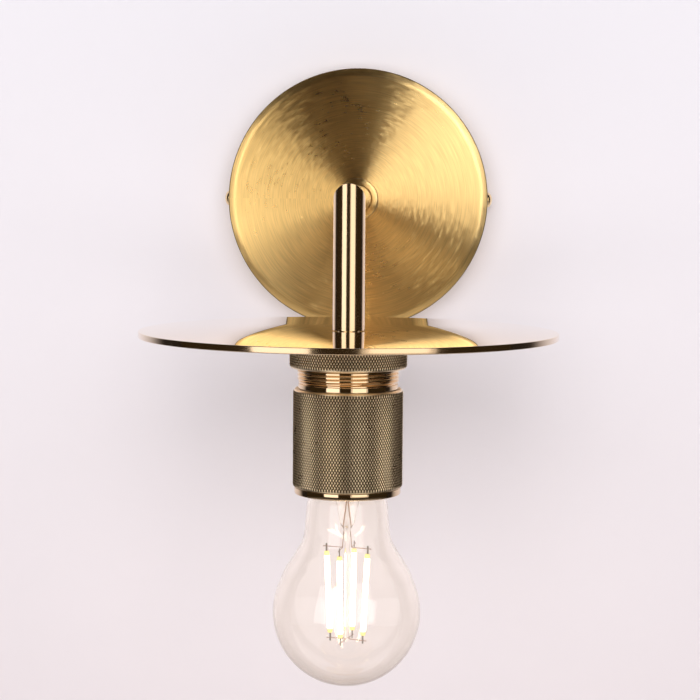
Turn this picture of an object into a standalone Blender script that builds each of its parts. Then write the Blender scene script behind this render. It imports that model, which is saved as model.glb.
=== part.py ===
"""Brass disc wall light: canopy on a wall bracket, mitred tube arm, flat disc, knurled lamp holder, filament bulb.

The origin is the centre of the wall bracket's back face, on the wall plane. +Z is up and the light stands out
of the wall towards -Y. The arm leaves the canopy along -Y and turns straight down to the lamp axis.
"""

import math

import bmesh
import bpy
from mathutils import Matrix, Vector

MM = 0.001
GAP = 0.3 * MM  # clearance kept between two separate pieces that touch

# Driving dimensions
CANOPY_RADIUS = 62.5 * MM
CANOPY_DEPTH = 20.0 * MM
CANOPY_WALL = 1.2 * MM
CANOPY_EDGE = 3.8 * MM
ARM_REACH = 161.0 * MM  # wall to lamp axis
ARM_RADIUS = 6.5 * MM
ARM_BORE = 4.8 * MM
COLLAR_RADIUS = 10.0 * MM
COLLAR_DEPTH = 1.6 * MM
NIPPLE_RADIUS = 4.5 * MM
NIPPLE_BORE = 3.5 * MM
NIPPLE_HOLE = 4.8 * MM
DISC_RADIUS = 85.0 * MM
DISC_TOP = -53.0 * MM
DISC_THICK = 2.5 * MM
RING_RADIUS = 24.0 * MM
RING_BOTTOM = -68.0 * MM
THREAD_RADIUS = 20.75 * MM
SHOULDER_RADIUS = 20.35 * MM
SLEEVE_RADIUS = 22.5 * MM
SLEEVE_TOP = -76.5 * MM
SLEEVE_BOTTOM = -116.5 * MM
LIP_RADIUS = 21.75 * MM
LIP_BOTTOM = -119.4 * MM
BULB_RADIUS = 30.3 * MM
BULB_BOTTOM = -199.1 * MM
BULB_LENGTH = 105.0 * MM

# Heights and faces that follow from them
LAMP_Y = -ARM_REACH
DISC_BOTTOM = DISC_TOP - DISC_THICK
BULB_TOP = BULB_BOTTOM + BULB_LENGTH
BULB_CENTRE = BULB_BOTTOM + BULB_RADIUS

COLLECTION = "brass_disc_wall_light"


# ---------------------------------------------------------------- scene and materials

for old in list(bpy.data.objects):
    bpy.data.objects.remove(old)


def new_collection(name):
    collection = bpy.data.collections.new(name)
    bpy.context.scene.collection.children.link(collection)
    return collection


parts = new_collection(COLLECTION)
cutters = new_collection("cutters")


def material(name, colour, metallic, roughness, alpha=1.0):
    made = bpy.data.materials.new(name)
    made.use_nodes = True
    shader = made.node_tree.nodes["Principled BSDF"]
    shader.inputs["Base Color"].default_value = (*colour, 1.0)
    shader.inputs["Metallic"].default_value = metallic
    shader.inputs["Roughness"].default_value = roughness
    shader.inputs["Alpha"].default_value = alpha
    return made


brushed_brass = material("brushed_brass", (0.72, 0.50, 0.22), 1.0, 0.35)
polished_brass = material("polished_brass", (0.80, 0.56, 0.27), 1.0, 0.12)
aged_brass = material("aged_brass", (0.46, 0.33, 0.16), 1.0, 0.35)
zinc_steel = material("zinc_steel", (0.62, 0.63, 0.65), 1.0, 0.35)
raw_brass = material("raw_brass", (0.72, 0.55, 0.28), 1.0, 0.30)
nylon = material("nylon", (0.86, 0.85, 0.80), 0.0, 0.55)
porcelain = material("porcelain", (0.90, 0.89, 0.86), 0.0, 0.25)
nickel = material("nickel", (0.78, 0.77, 0.74), 1.0, 0.25)
black_glass = material("black_glass", (0.03, 0.03, 0.04), 0.0, 0.20)
clear_glass = material("clear_glass", (0.95, 0.96, 0.97), 0.0, 0.02, 0.25)
phosphor = material("phosphor", (1.00, 0.83, 0.45), 0.0, 0.50)
circuit_board = material("circuit_board", (0.12, 0.30, 0.18), 0.0, 0.50)
live_brown = material("live_brown", (0.30, 0.15, 0.08), 0.0, 0.45)
neutral_blue = material("neutral_blue", (0.10, 0.25, 0.60), 0.0, 0.45)
earth_green = material("earth_green", (0.25, 0.55, 0.15), 0.0, 0.45)


# ---------------------------------------------------------------- shapes

LAMP_AXIS = Matrix.Translation((0, LAMP_Y, 0))  # a turned piece on the lamp's vertical axis
WALL_AXIS = Matrix.Rotation(math.pi / 2, 4, "X")  # local +Z points out of the wall, along -Y


def add_object(name, data, place, collection=parts):
    made = bpy.data.objects.new(name, data)
    made.matrix_world = place
    collection.objects.link(made)
    return made


def as_cutter(obj):
    for collection in list(obj.users_collection):
        collection.objects.unlink(obj)
    cutters.objects.link(obj)
    obj.hide_render = True
    obj.display_type = "WIRE"
    return obj


def cut(obj, cutter, operation="DIFFERENCE"):
    boolean = obj.modifiers.new(operation.lower(), "BOOLEAN")
    boolean.operation = operation
    boolean.solver = "EXACT"
    boolean.object = as_cutter(cutter)


def turned(name, profile, place, mat, steps=32, closed=True):
    """A lathe piece. The (radius, height) profile runs down the outside, then back up the bore if closed."""
    mesh = bpy.data.meshes.new(name)
    points = [(radius, 0.0, height) for radius, height in profile]
    count = len(points)
    last = count if closed else count - 1
    mesh.from_pydata(points, [(i, (i + 1) % count) for i in range(last)], [])
    mesh.materials.append(mat)
    made = add_object(name, mesh, place)
    screw = made.modifiers.new("turn", "SCREW")
    screw.steps = steps
    screw.render_steps = steps
    screw.use_merge_vertices = True
    screw.merge_threshold = 0.00001
    screw.use_smooth_shade = True
    screw.use_normal_flip = False
    return made


def ring(name, outer, bore, top, bottom, place, mat, steps=32, edge=0.0):
    """A tube or washer with an optional small chamfer on its outer edges."""
    profile = [(bore, top), (outer - edge, top)]
    if edge:
        profile += [(outer, top - edge), (outer, bottom + edge)]
    else:
        profile += [(outer, bottom)]
    if edge:
        profile += [(outer - edge, bottom)]
    profile += [(bore, bottom)]
    return turned(name, profile, place, mat, steps)


def arc(centre, radius, start, end, steps):
    """Points on a profile's arc, by angle in degrees from the +radius direction."""
    turns = [math.radians(start + (end - start) * i / steps) for i in range(steps + 1)]
    return [(centre[0] + radius * math.cos(t), centre[1] + radius * math.sin(t)) for t in turns]


def box(name, low, high, mat, collection=parts):
    """A block between two corners, in world coordinates."""
    low, high = Vector(low), Vector(high)
    mesh = bpy.data.meshes.new(name)
    shape = bmesh.new()
    bmesh.ops.create_cube(shape, size=1.0)
    size = high - low
    bmesh.ops.scale(shape, vec=size, verts=shape.verts)
    bmesh.ops.translate(shape, vec=(low + high) / 2, verts=shape.verts)
    shape.to_mesh(mesh)
    shape.free()
    if mat:
        mesh.materials.append(mat)
    return add_object(name, mesh, Matrix.Identity(4), collection)


def rod(name, radius, start, end, mat, segments=20, collection=parts):
    """A straight cylinder between two points; with 6 segments, a hexagon bar."""
    start, end = Vector(start), Vector(end)
    mesh = bpy.data.meshes.new(name)
    shape = bmesh.new()
    bmesh.ops.create_cone(
        shape,
        cap_ends=True,
        segments=segments,
        radius1=radius,
        radius2=radius,
        depth=(end - start).length,
    )
    turn = (end - start).to_track_quat("Z", "Y").to_matrix().to_4x4()
    shape.transform(Matrix.Translation((start + end) / 2) @ turn)
    shape.to_mesh(mesh)
    shape.free()
    if mat:
        mesh.materials.append(mat)
    return add_object(name, mesh, Matrix.Identity(4), collection)


def hex_nut(name, across_flats, bore, start, end, mat):
    nut = rod(name, across_flats / math.sqrt(3), start, end, mat, segments=6)
    along = (Vector(end) - Vector(start)).normalized() * MM
    cut(nut, rod(name + "_bore", bore, Vector(start) - along, Vector(end) + along, None, 24))
    return nut


def smooth_path(points, per_span=6):
    """A Catmull-Rom curve through the points, read at even steps."""
    ends = [points[0] * 2 - points[1], *points, points[-1] * 2 - points[-2]]
    path = []
    for a, b, c, d in zip(ends, ends[1:], ends[2:], ends[3:]):
        for i in range(per_span):
            t = i / per_span
            bend = (2 * a - 5 * b + 4 * c - d) * t * t + (3 * b - a - 3 * c + d) * t**3
            path.append(b + ((c - a) * t + bend) / 2)
    return path + [points[-1]]


def wire(name, path, radius, mat, resolution=2):
    """A round wire along a list of points, with closed ends."""
    curve = bpy.data.curves.new(name, "CURVE")
    curve.dimensions = "3D"
    curve.bevel_depth = radius
    curve.bevel_resolution = resolution
    curve.use_fill_caps = True
    spline = curve.splines.new("POLY")
    spline.points.add(len(path) - 1)
    for point, place in zip(spline.points, path):
        point.co = (*place, 1.0)
    curve.materials.append(mat)
    return add_object(name, curve, Matrix.Identity(4))


# ---------------------------------------------------------------- wall bracket and its hardware

EAR_FACE = 59.8 * MM
EAR_THICK = 1.5 * MM
EAR_HOLE_Y = -10.0 * MM
STRAP_HALF = 10.0 * MM
TAB_HALF = 16.0 * MM
TAB_BOTTOM = -38.0 * MM


def wall_bracket():
    """Steel strap with two bent ears for the canopy's side screws and a tab for the terminal block."""
    strap = box("wall_bracket", (-EAR_FACE, -EAR_THICK, -STRAP_HALF), (EAR_FACE, 0, STRAP_HALF), zinc_steel)
    tab = box("tab", (-TAB_HALF, -EAR_THICK, TAB_BOTTOM), (TAB_HALF, 0, -STRAP_HALF + MM), None)
    cut(strap, tab, "UNION")
    for side in (-1, 1):
        inner, outer = sorted((side * (EAR_FACE - EAR_THICK), side * EAR_FACE))
        ear = box("ear", (inner, -15 * MM, -8 * MM), (outer, -EAR_THICK / 2, 8 * MM), None)
        cut(strap, ear, "UNION")
        hole_from = (side * (EAR_FACE - 3 * MM), EAR_HOLE_Y, 0)
        hole_to = (side * (EAR_FACE + 2 * MM), EAR_HOLE_Y, 0)
        cut(strap, rod("ear_hole", 2.3 * MM, hole_from, hole_to, None, 16))
        cut(strap, slot_cutter(side * 32 * MM))
    cut(strap, rod("earth_hole", 2.0 * MM, (-50 * MM, -3 * MM, 0), (-50 * MM, MM, 0), None, 16))
    cut(strap, rod("block_hole", 1.6 * MM, (5 * MM, -3 * MM, -24 * MM), (5 * MM, MM, -24 * MM), None, 12))
    return strap


def slot_cutter(centre_x, half_length=8 * MM, radius=2.25 * MM):
    """A long hole with round ends, for the wall screws."""
    outline = bpy.data.curves.new("wall_slot", "CURVE")
    outline.dimensions = "2D"
    outline.fill_mode = "BOTH"
    outline.extrude = 3 * MM
    spline = outline.splines.new("POLY")
    right = arc((half_length, 0), radius, -90, 90, 6)
    left = arc((-half_length, 0), radius, 90, 270, 6)
    spline.points.add(len(right + left) - 1)
    for point, (x, z) in zip(spline.points, right + left):
        point.co = (x, z, 0, 1)
    spline.use_cyclic_u = True
    place = Matrix.Translation((centre_x, 0, 0)) @ WALL_AXIS
    flat = add_object("wall_slot", outline, place, cutters)
    bpy.context.view_layer.update()
    mesh = bpy.data.meshes.new_from_object(flat.evaluated_get(bpy.context.evaluated_depsgraph_get()))
    shape = bmesh.new()
    shape.from_mesh(mesh)
    bmesh.ops.remove_doubles(shape, verts=shape.verts, dist=0.00001)
    bmesh.ops.recalc_face_normals(shape, faces=shape.faces)
    shape.to_mesh(mesh)
    shape.free()
    bpy.data.objects.remove(flat)
    return add_object("wall_slot_solid", mesh, place, cutters)


def screw_along(name, direction, face, head_radius, head_height, shank_radius, shank_length, mat, steps=20):
    """A round-head screw: its head stands out of a face along a direction, its shank goes the other way."""
    crown = [
        (head_radius * math.cos(t), head_height * math.sin(t))
        for t in (math.radians(90 - 18 * i) for i in range(1, 6))
    ]
    profile = [(0, head_height), *crown, (shank_radius, 0), (shank_radius, -shank_length), (0, -shank_length)]
    turn = Vector(direction).to_track_quat("Z", "Y").to_matrix().to_4x4()
    place = Matrix.Translation(Vector(face) + Vector(direction) * GAP) @ turn
    return turned(name, profile, place, mat, steps, closed=False)


def bracket_hardware():
    washer_place = Matrix.Translation((-50 * MM, 0, 0)) @ WALL_AXIS
    bore = 2.05 * MM
    eye_back = EAR_THICK + GAP
    eye_front = eye_back + 0.8 * MM
    ring("earth_ring_terminal", 3.6 * MM, bore, eye_front, eye_back, washer_place, nickel, 20)
    washer_back = eye_front + GAP
    washer_front = washer_back + 0.6 * MM
    ring("earth_washer", 3.8 * MM, bore, washer_front, washer_back, washer_place, zinc_steel, 20)
    face = (-50 * MM, -washer_front, 0)
    screw_along("earth_screw", (0, -1, 0), face, 3.4 * MM, 2.2 * MM, 1.7 * MM, washer_front, zinc_steel, 16)


# ---------------------------------------------------------------- terminal block

POLE_X = (-10 * MM, 0.0, 10 * MM)
BLOCK_TOP = -15.0 * MM
BLOCK_BOTTOM = -33.0 * MM
BLOCK_BACK = -EAR_THICK - GAP
BLOCK_FRONT = BLOCK_BACK - 12.0 * MM
POLE_Y = -8.0 * MM
POLE_SCREW_Z = -21.0 * MM


def terminal_block():
    """Three-pole nylon block: a wire hole down each pole and a screw well from the front into it."""
    block = box(
        "terminal_block",
        (-15 * MM, BLOCK_FRONT, BLOCK_BOTTOM),
        (15 * MM, BLOCK_BACK, BLOCK_TOP),
        nylon,
    )
    for x in POLE_X:
        top = (x, POLE_Y, BLOCK_TOP + MM)
        cut(block, rod("pole_bore", 1.9 * MM, top, (x, POLE_Y, BLOCK_BOTTOM - MM), None, 12))
        well = (x, BLOCK_FRONT - MM, POLE_SCREW_Z)
        cut(block, rod("screw_well", 2.2 * MM, well, (x, POLE_Y, POLE_SCREW_Z), None, 12))
    fixing = (5 * MM, BLOCK_FRONT - MM, -24 * MM)
    cut(block, rod("fixing_hole", 1.6 * MM, fixing, (5 * MM, 0, -24 * MM), None, 12))
    for number, x in enumerate(POLE_X, 1):
        start = (x, POLE_Y - 1.4 * MM, POLE_SCREW_Z)
        end = (x, BLOCK_FRONT + 0.8 * MM, POLE_SCREW_Z)
        rod(f"pole_screw_{number}", 1.8 * MM, start, end, zinc_steel, 12)
    face = (5 * MM, BLOCK_FRONT, -24 * MM)
    shank = 12.8 * MM
    screw_along("block_fixing_screw", (0, -1, 0), face, 2.4 * MM, 1.5 * MM, 1.3 * MM, shank, zinc_steel, 12)


# ---------------------------------------------------------------- canopy

def canopy():
    """Spun brass cup, open at the wall, with a rolled front edge and a screw hole at each side."""
    inside = CANOPY_RADIUS - CANOPY_WALL
    floor = CANOPY_DEPTH - CANOPY_WALL
    edge_centre = (CANOPY_RADIUS - CANOPY_EDGE, CANOPY_DEPTH - CANOPY_EDGE)
    outer_edge = arc(edge_centre, CANOPY_EDGE, 90, 0, 4)
    inner_edge = arc(edge_centre, CANOPY_EDGE - CANOPY_WALL, 0, 90, 3)
    profile = [(NIPPLE_HOLE, CANOPY_DEPTH), *outer_edge, (CANOPY_RADIUS, 0), (inside, 0), *inner_edge]
    profile += [(NIPPLE_HOLE, floor)]
    cup = turned("canopy", profile, WALL_AXIS, brushed_brass, 48)
    for side in (-1, 1):
        start = (side * (inside - 3 * MM), EAR_HOLE_Y, 0)
        end = (side * (CANOPY_RADIUS + 3 * MM), EAR_HOLE_Y, 0)
        cut(cup, rod("side_hole", 2.4 * MM, start, end, None, 16))


def canopy_screws():
    for name, side in (("canopy_screw_left", -1), ("canopy_screw_right", 1)):
        face = (side * CANOPY_RADIUS, EAR_HOLE_Y, 0)
        screw_along(name, (side, 0, 0), face, 3.7 * MM, 2.1 * MM, 1.95 * MM, 8.5 * MM, raw_brass, 20)


# ---------------------------------------------------------------- arm

ARM_FACE = CANOPY_DEPTH + GAP  # distance from the wall to the tube's rear end


def mitre_cutter(name, side):
    """A block that takes away everything past the 45 degree joint plane, on one side of it."""
    size = 0.4
    shape = box(name, (-size / 2, 0, -size / 2), (size / 2, size, size / 2), None)
    shape.matrix_world = (
        Matrix.Translation((0, LAMP_Y, 0))
        @ Matrix.Rotation(math.radians(45 if side > 0 else -135), 4, "X")
        @ Matrix.Translation((0, -GAP / 2, 0))
    )
    return shape


def arm():
    """Two lengths of one brass tube, brazed at a 45 degree mitre, with a thin flange at the canopy."""
    tube = (ARM_RADIUS, ARM_BORE)
    reach = ARM_REACH + ARM_RADIUS + MM
    horizontal = ring("arm_tube_horizontal", *tube, reach, ARM_FACE, WALL_AXIS, polished_brass, 32)
    cut(horizontal, mitre_cutter("mitre_front", -1))
    top = ARM_RADIUS + MM
    vertical = ring("arm_tube_vertical", *tube, top, DISC_TOP + GAP, LAMP_AXIS, polished_brass, 32)
    cut(vertical, mitre_cutter("mitre_back", 1))
    flange = (COLLAR_RADIUS, ARM_RADIUS + GAP, ARM_FACE + COLLAR_DEPTH, ARM_FACE)
    ring("arm_collar", *flange, WALL_AXIS, brushed_brass, 32, 0.6 * MM)


def arm_fixings():
    """The hollow nipple, toothed washer and nut that hold the arm to the canopy."""
    ring("root_nipple", NIPPLE_RADIUS, NIPPLE_BORE, 45 * MM, 8 * MM, WALL_AXIS, raw_brass, 20)
    washer_top = CANOPY_DEPTH - CANOPY_WALL - GAP
    ring("root_lock_washer", 9 * MM, NIPPLE_HOLE, washer_top, washer_top - MM, WALL_AXIS, zinc_steel, 20)
    nut_front = washer_top - MM - GAP
    hex_nut("root_nut", 14 * MM, NIPPLE_HOLE, (0, -nut_front + 4 * MM, 0), (0, -nut_front, 0), raw_brass)


# ---------------------------------------------------------------- disc and lamp holder

CAP_TOP = DISC_BOTTOM - GAP
CAP_WALL_BOTTOM = CAP_TOP - 2.5 * MM
CAP_BORE = 18.5 * MM
WASHER_THICK = 0.6 * MM
SPIGOT_TOP = -70.0 * MM
SPIGOT_RADIUS = CAP_BORE - GAP
SPIGOT_BORE = 16.6 * MM
SLEEVE_BORE = 19.8 * MM
SLEEVE_FLOOR = -80.0 * MM
LIP_BORE = 17.4 * MM
INSERT_RADIUS = SLEEVE_BORE - GAP
INSERT_BORE = 14.6 * MM
INSERT_TOP = SLEEVE_FLOOR - GAP
INSERT_WEB = INSERT_TOP - 6.0 * MM
INSERT_BOTTOM = -112.8 * MM


def disc_and_nipple():
    ring("disc", DISC_RADIUS, NIPPLE_HOLE, DISC_TOP, DISC_BOTTOM, LAMP_AXIS, polished_brass, 56, 0.25 * MM)
    ring("lower_nipple", NIPPLE_RADIUS, NIPPLE_BORE, -42 * MM, -64 * MM, LAMP_AXIS, raw_brass, 20)


def knurled_ring():
    """The ring screws down its thread, with a loose brass washer riding on top of it."""
    bore = THREAD_RADIUS + GAP
    washer_bottom = CAP_TOP - WASHER_THICK
    ring_top = washer_bottom - GAP
    ring("ring_washer", 23.2 * MM, bore, CAP_TOP, washer_bottom, LAMP_AXIS, raw_brass, 36)
    ring("knurled_ring", RING_RADIUS, bore, ring_top, RING_BOTTOM, LAMP_AXIS, aged_brass, 36, 0.5 * MM)


def holder_cap():
    """Upper half of the lamp holder: threaded outside for the ring, hollow inside for the wiring."""
    groove = -74.2 * MM
    profile = [
        (NIPPLE_HOLE, CAP_TOP),
        (THREAD_RADIUS - 0.5 * MM, CAP_TOP),
        (THREAD_RADIUS, CAP_TOP - 0.5 * MM),
        (THREAD_RADIUS, groove),
        (SHOULDER_RADIUS, groove),
        (SHOULDER_RADIUS, SLEEVE_TOP + GAP),
        (CAP_BORE, SLEEVE_TOP + GAP),
        (CAP_BORE, CAP_WALL_BOTTOM),
        (NIPPLE_HOLE, CAP_WALL_BOTTOM),
    ]
    turned("holder_cap", profile, LAMP_AXIS, polished_brass, 36)
    washer_top = CAP_WALL_BOTTOM - GAP
    washer_bottom = washer_top - 0.8 * MM
    ring("holder_lock_washer", 8 * MM, NIPPLE_HOLE, washer_top, washer_bottom, LAMP_AXIS, zinc_steel, 20)
    nut_ends = ((0, LAMP_Y, washer_bottom - GAP), (0, LAMP_Y, washer_bottom - GAP - 3.5 * MM))
    hex_nut("holder_nut", 14 * MM, NIPPLE_HOLE, *nut_ends, raw_brass)


def holder_sleeve():
    """Knurled body of the holder: its spigot goes up inside the cap and its bore takes the insert."""
    chamfer = 0.9 * MM
    profile = [
        (SPIGOT_BORE, SPIGOT_TOP),
        (SPIGOT_RADIUS, SPIGOT_TOP),
        (SPIGOT_RADIUS, SLEEVE_TOP),
        (SLEEVE_RADIUS - chamfer, SLEEVE_TOP),
        (SLEEVE_RADIUS, SLEEVE_TOP - chamfer),
        (SLEEVE_RADIUS, SLEEVE_BOTTOM),
        (SLEEVE_BORE, SLEEVE_BOTTOM),
        (SLEEVE_BORE, SLEEVE_FLOOR),
        (SPIGOT_BORE, SLEEVE_FLOOR),
    ]
    turned("holder_sleeve", profile, LAMP_AXIS, aged_brass, 36)


def lip_ring():
    """Polished end ring, screwed up inside the sleeve to hold the insert."""
    shoulder = SLEEVE_BOTTOM - GAP
    spigot_top = INSERT_BOTTOM - GAP
    edge = 0.5 * MM
    profile = [
        (LIP_BORE, spigot_top),
        (INSERT_RADIUS, spigot_top),
        (INSERT_RADIUS, shoulder),
        (LIP_RADIUS, shoulder),
        (LIP_RADIUS, LIP_BOTTOM + edge),
        (LIP_RADIUS - edge, LIP_BOTTOM),
        (LIP_BORE, LIP_BOTTOM),
    ]
    turned("lip_ring", profile, LAMP_AXIS, polished_brass, 36)


def ceramic_insert():
    profile = [
        (1.8 * MM, INSERT_TOP),
        (INSERT_RADIUS, INSERT_TOP),
        (INSERT_RADIUS, INSERT_BOTTOM),
        (INSERT_BORE, INSERT_BOTTOM),
        (INSERT_BORE, INSERT_WEB),
        (1.8 * MM, INSERT_WEB),
    ]
    turned("ceramic_insert", profile, LAMP_AXIS, porcelain, 32)
    ring("screw_shell", 14.3 * MM, 13.7 * MM, -88 * MM, -112 * MM, LAMP_AXIS, raw_brass, 32)


CONTACT_WIDTH = 6.0 * MM


def centre_contact():
    """Springy strip: flat under the insert's web, then folded down so its tip meets the bulb's contact."""
    rest = INSERT_WEB - GAP - 0.25 * MM
    tip = BULB_TOP + GAP + 0.25 * MM
    side = [(6, rest), (-3, rest), (-5.5, rest - 0.8 * MM), (-6, rest - 2.4 * MM), (-4, tip + 2.4 * MM)]
    side += [(-1.5, tip + 0.5 * MM), (0.5, tip), (2.5, tip + 0.4 * MM)]
    mesh = bpy.data.meshes.new("centre_contact")
    half = CONTACT_WIDTH / 2
    verts = [(x * MM, y, z) for x, z in side for y in (-half, half)]
    faces = [(2 * i, 2 * i + 1, 2 * i + 3, 2 * i + 2) for i in range(len(side) - 1)]
    mesh.from_pydata(verts, [], faces)
    mesh.materials.append(nickel)
    strip = add_object("centre_contact", mesh, LAMP_AXIS)
    solid = strip.modifiers.new("thickness", "SOLIDIFY")
    solid.thickness = 0.5 * MM
    solid.offset = 0.0
    face = (0, LAMP_Y, INSERT_TOP)
    screw_along("contact_rivet", (0, 0, 1), face, 3.0 * MM, 1.2 * MM, 1.5 * MM, 6.0 * MM, nickel, 16)


TERMINAL_X = 10.0 * MM
TERMINAL_BASE = INSERT_TOP + GAP
TERMINAL_TOP = TERMINAL_BASE + 7.0 * MM


def holder_terminals():
    """Brass wire clamps on the insert: live at the right, neutral at the left, each with its screw."""
    for name, side in (("live_terminal", 1), ("neutral_terminal", -1)):
        low_x, high_x = sorted((side * (TERMINAL_X - 3.2 * MM), side * (TERMINAL_X + 3.2 * MM)))
        low = (low_x, LAMP_Y - 4 * MM, TERMINAL_BASE)
        high = (high_x, LAMP_Y + 4 * MM, TERMINAL_TOP)
        block = box(name, low, high, raw_brass)
        x = side * TERMINAL_X
        hole_floor = TERMINAL_BASE + 1.5 * MM
        cut(block, rod("wire_hole", 1.5 * MM, (x, LAMP_Y, hole_floor), (x, LAMP_Y, 0), None, 12))
        head_z = TERMINAL_BASE + 4.0 * MM
        inside, outside = LAMP_Y - 1.6 * MM, LAMP_Y - 6 * MM
        cut(block, rod("screw_hole", 1.6 * MM, (x, inside + MM, head_z), (x, outside, head_z), None, 12))
        face = (x, LAMP_Y - 4 * MM, head_z)
        screw_along(name + "_screw", (0, -1, 0), face, 2.3 * MM, 1.4 * MM, 1.3 * MM, 2.4 * MM, nickel, 12)


# ---------------------------------------------------------------- wiring

WIRE_RADIUS = 1.0 * MM


def arm_wire(name, side, pole_x, mat):
    """A core from the terminal block, through the hollow nipple and the arm, down to a holder terminal."""
    x = side * 1.4 * MM
    bend = 10 * MM
    block_hole = Vector((pole_x, POLE_Y, BLOCK_TOP - 5 * MM))
    turn_in = [
        block_hole,
        Vector((pole_x, POLE_Y, BLOCK_TOP + 3 * MM)),
        Vector((pole_x * 0.6, -5.6 * MM, -5.5 * MM)),
        Vector((x * 1.5, -5.6 * MM, -1.2 * MM)),
        Vector((x, -9.5 * MM, 0)),
        Vector((x, -20 * MM, 0)),
        Vector((x, -60 * MM, 0)),
        Vector((x, -110 * MM, 0)),
        Vector((x, LAMP_Y + 18 * MM, 0)),
    ]
    corner = [
        Vector((x, LAMP_Y + bend - bend * math.sin(t), -bend + bend * math.cos(t)))
        for t in (math.radians(22.5 * i) for i in range(5))
    ]
    end_x = side * TERMINAL_X
    drop = [
        Vector((x, LAMP_Y, -24 * MM)),
        Vector((x, LAMP_Y, -44 * MM)),
        Vector((x, LAMP_Y, -62 * MM)),
        Vector((x + side * 0.8 * MM, LAMP_Y, -65.5 * MM)),
        Vector((end_x - side * 1.2 * MM, LAMP_Y, -69.5 * MM)),
        Vector((end_x, LAMP_Y, TERMINAL_TOP + 1.0 * MM)),
        Vector((end_x, LAMP_Y, TERMINAL_BASE + 5.0 * MM)),
    ]
    wire(name, smooth_path(turn_in + corner + drop, 2), WIRE_RADIUS, mat, 1)


def wiring():
    arm_wire("live_wire", 1, POLE_X[2], live_brown)
    arm_wire("neutral_wire", -1, POLE_X[0], neutral_blue)
    earth_end = -50 * MM + 3.6 * MM + GAP
    route = [
        Vector((0, POLE_Y, BLOCK_BOTTOM + 6 * MM)),
        Vector((0, POLE_Y, BLOCK_BOTTOM - 2 * MM)),
        Vector((-6 * MM, POLE_Y, BLOCK_BOTTOM - 7 * MM)),
        Vector((-20 * MM, POLE_Y, BLOCK_BOTTOM - 4 * MM)),
        Vector((-32 * MM, -6 * MM, -22 * MM)),
        Vector((-41 * MM, -3.5 * MM, -6 * MM)),
        Vector((earth_end + 2.5 * MM, -2.9 * MM, -1.5 * MM)),
        Vector((earth_end + WIRE_RADIUS, -2.9 * MM, -0.2 * MM)),
    ]
    wire("earth_wire", smooth_path(route, 3), WIRE_RADIUS, earth_green, 1)


# ---------------------------------------------------------------- bulb

CAP_RADIUS = 13.1 * MM
CAP_RIM = 14.0 * MM
GLASS_WALL = 0.9 * MM
CAP_RIM_Z = -118.6 * MM
FILAMENTS = 4
FILAMENT_TOP = -143.5 * MM
FILAMENT_BOTTOM = -179.0 * MM


def glass_outline(inset):
    """Face of the glass wall, top to bottom: neck, throat, then a round globe. inset moves it inwards."""
    outline = [(12.3 * MM, -113.5 * MM), (12.3 * MM, -118.9 * MM), (14.6 * MM, -120.2 * MM)]
    outline += [(16.2 * MM, -122.4 * MM), (17.0 * MM, -129.5 * MM), (17.4 * MM, -135.0 * MM)]
    outline += [(18.4 * MM, -139.3 * MM), (20.5 * MM, -143.2 * MM), (23.1 * MM, -147.4 * MM)]
    outline += [(25.7 * MM, -151.6 * MM), *arc((0, BULB_CENTRE), BULB_RADIUS, 25, -90, 9)]
    moved = []
    for before, here, after in zip([outline[0], *outline], outline, [*outline[1:], outline[-1]]):
        along = Vector((after[0] - before[0], after[1] - before[1])).normalized()
        moved.append((here[0] + along.y * inset, here[1] - along.x * inset))
    moved[-1] = (0.0, BULB_BOTTOM + inset)
    return moved


def bulb_glass():
    """Clear envelope, open at the top of its neck inside the metal cap."""
    outer = glass_outline(0.0)
    inner = glass_outline(GLASS_WALL)
    turned("bulb_glass", [*reversed(inner), *outer], LAMP_AXIS, clear_glass, 28, closed=False)


def bulb_cap():
    """Screw cap of the bulb: contact button, black glass insulator and threaded metal shell."""
    button_bottom = BULB_TOP - 1.4 * MM
    button = [(0, BULB_TOP), (4.0 * MM, BULB_TOP), (4.8 * MM, BULB_TOP - 0.6 * MM)]
    button += [(4.8 * MM, button_bottom), (0, button_bottom)]
    turned("bulb_contact", button, LAMP_AXIS, nickel, 24, closed=False)
    insulator_top = button_bottom - GAP
    insulator = [(0, insulator_top), (5.4 * MM, insulator_top), (10.4 * MM, insulator_top - 3.4 * MM)]
    insulator += [(10.4 * MM, insulator_top - 4.4 * MM), (0, insulator_top - 4.4 * MM)]
    turned("bulb_insulator", insulator, LAMP_AXIS, black_glass, 28, closed=False)
    shell_top = insulator_top - 3.4 * MM - GAP
    wall = 0.4 * MM
    shell = [
        (10.7 * MM, shell_top),
        (11.8 * MM, shell_top),
        (CAP_RADIUS, shell_top - 2.2 * MM),
        (CAP_RADIUS, -114.5 * MM),
        (CAP_RIM, CAP_RIM_Z + 2 * MM),
        (CAP_RIM, CAP_RIM_Z),
        (CAP_RIM - wall, CAP_RIM_Z),
        (CAP_RIM - wall, CAP_RIM_Z + 2 * MM),
        (CAP_RADIUS - wall, -114.5 * MM),
        (CAP_RADIUS - wall, shell_top - 2.4 * MM),
        (11.6 * MM, shell_top - 0.6 * MM),
        (10.7 * MM, shell_top - 0.6 * MM),
    ]
    turned("bulb_cap_shell", shell, LAMP_AXIS, nickel, 28)
    board_top = -104.0 * MM
    board_bottom = board_top - 1.6 * MM
    rod("driver_board", 10.5 * MM, (0, LAMP_Y, board_top), (0, LAMP_Y, board_bottom), circuit_board, 24)
    can_top = board_bottom - GAP
    can_ends = ((4 * MM, LAMP_Y, can_top), (4 * MM, LAMP_Y, can_top - 6 * MM))
    rod("driver_capacitor", 3.0 * MM, *can_ends, black_glass, 14)


STEM_TOP = -114.5 * MM
PRESS_TOP = -124.0 * MM
PRESS_BOTTOM = -131.0 * MM
POST_BOTTOM = -181.5 * MM


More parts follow.
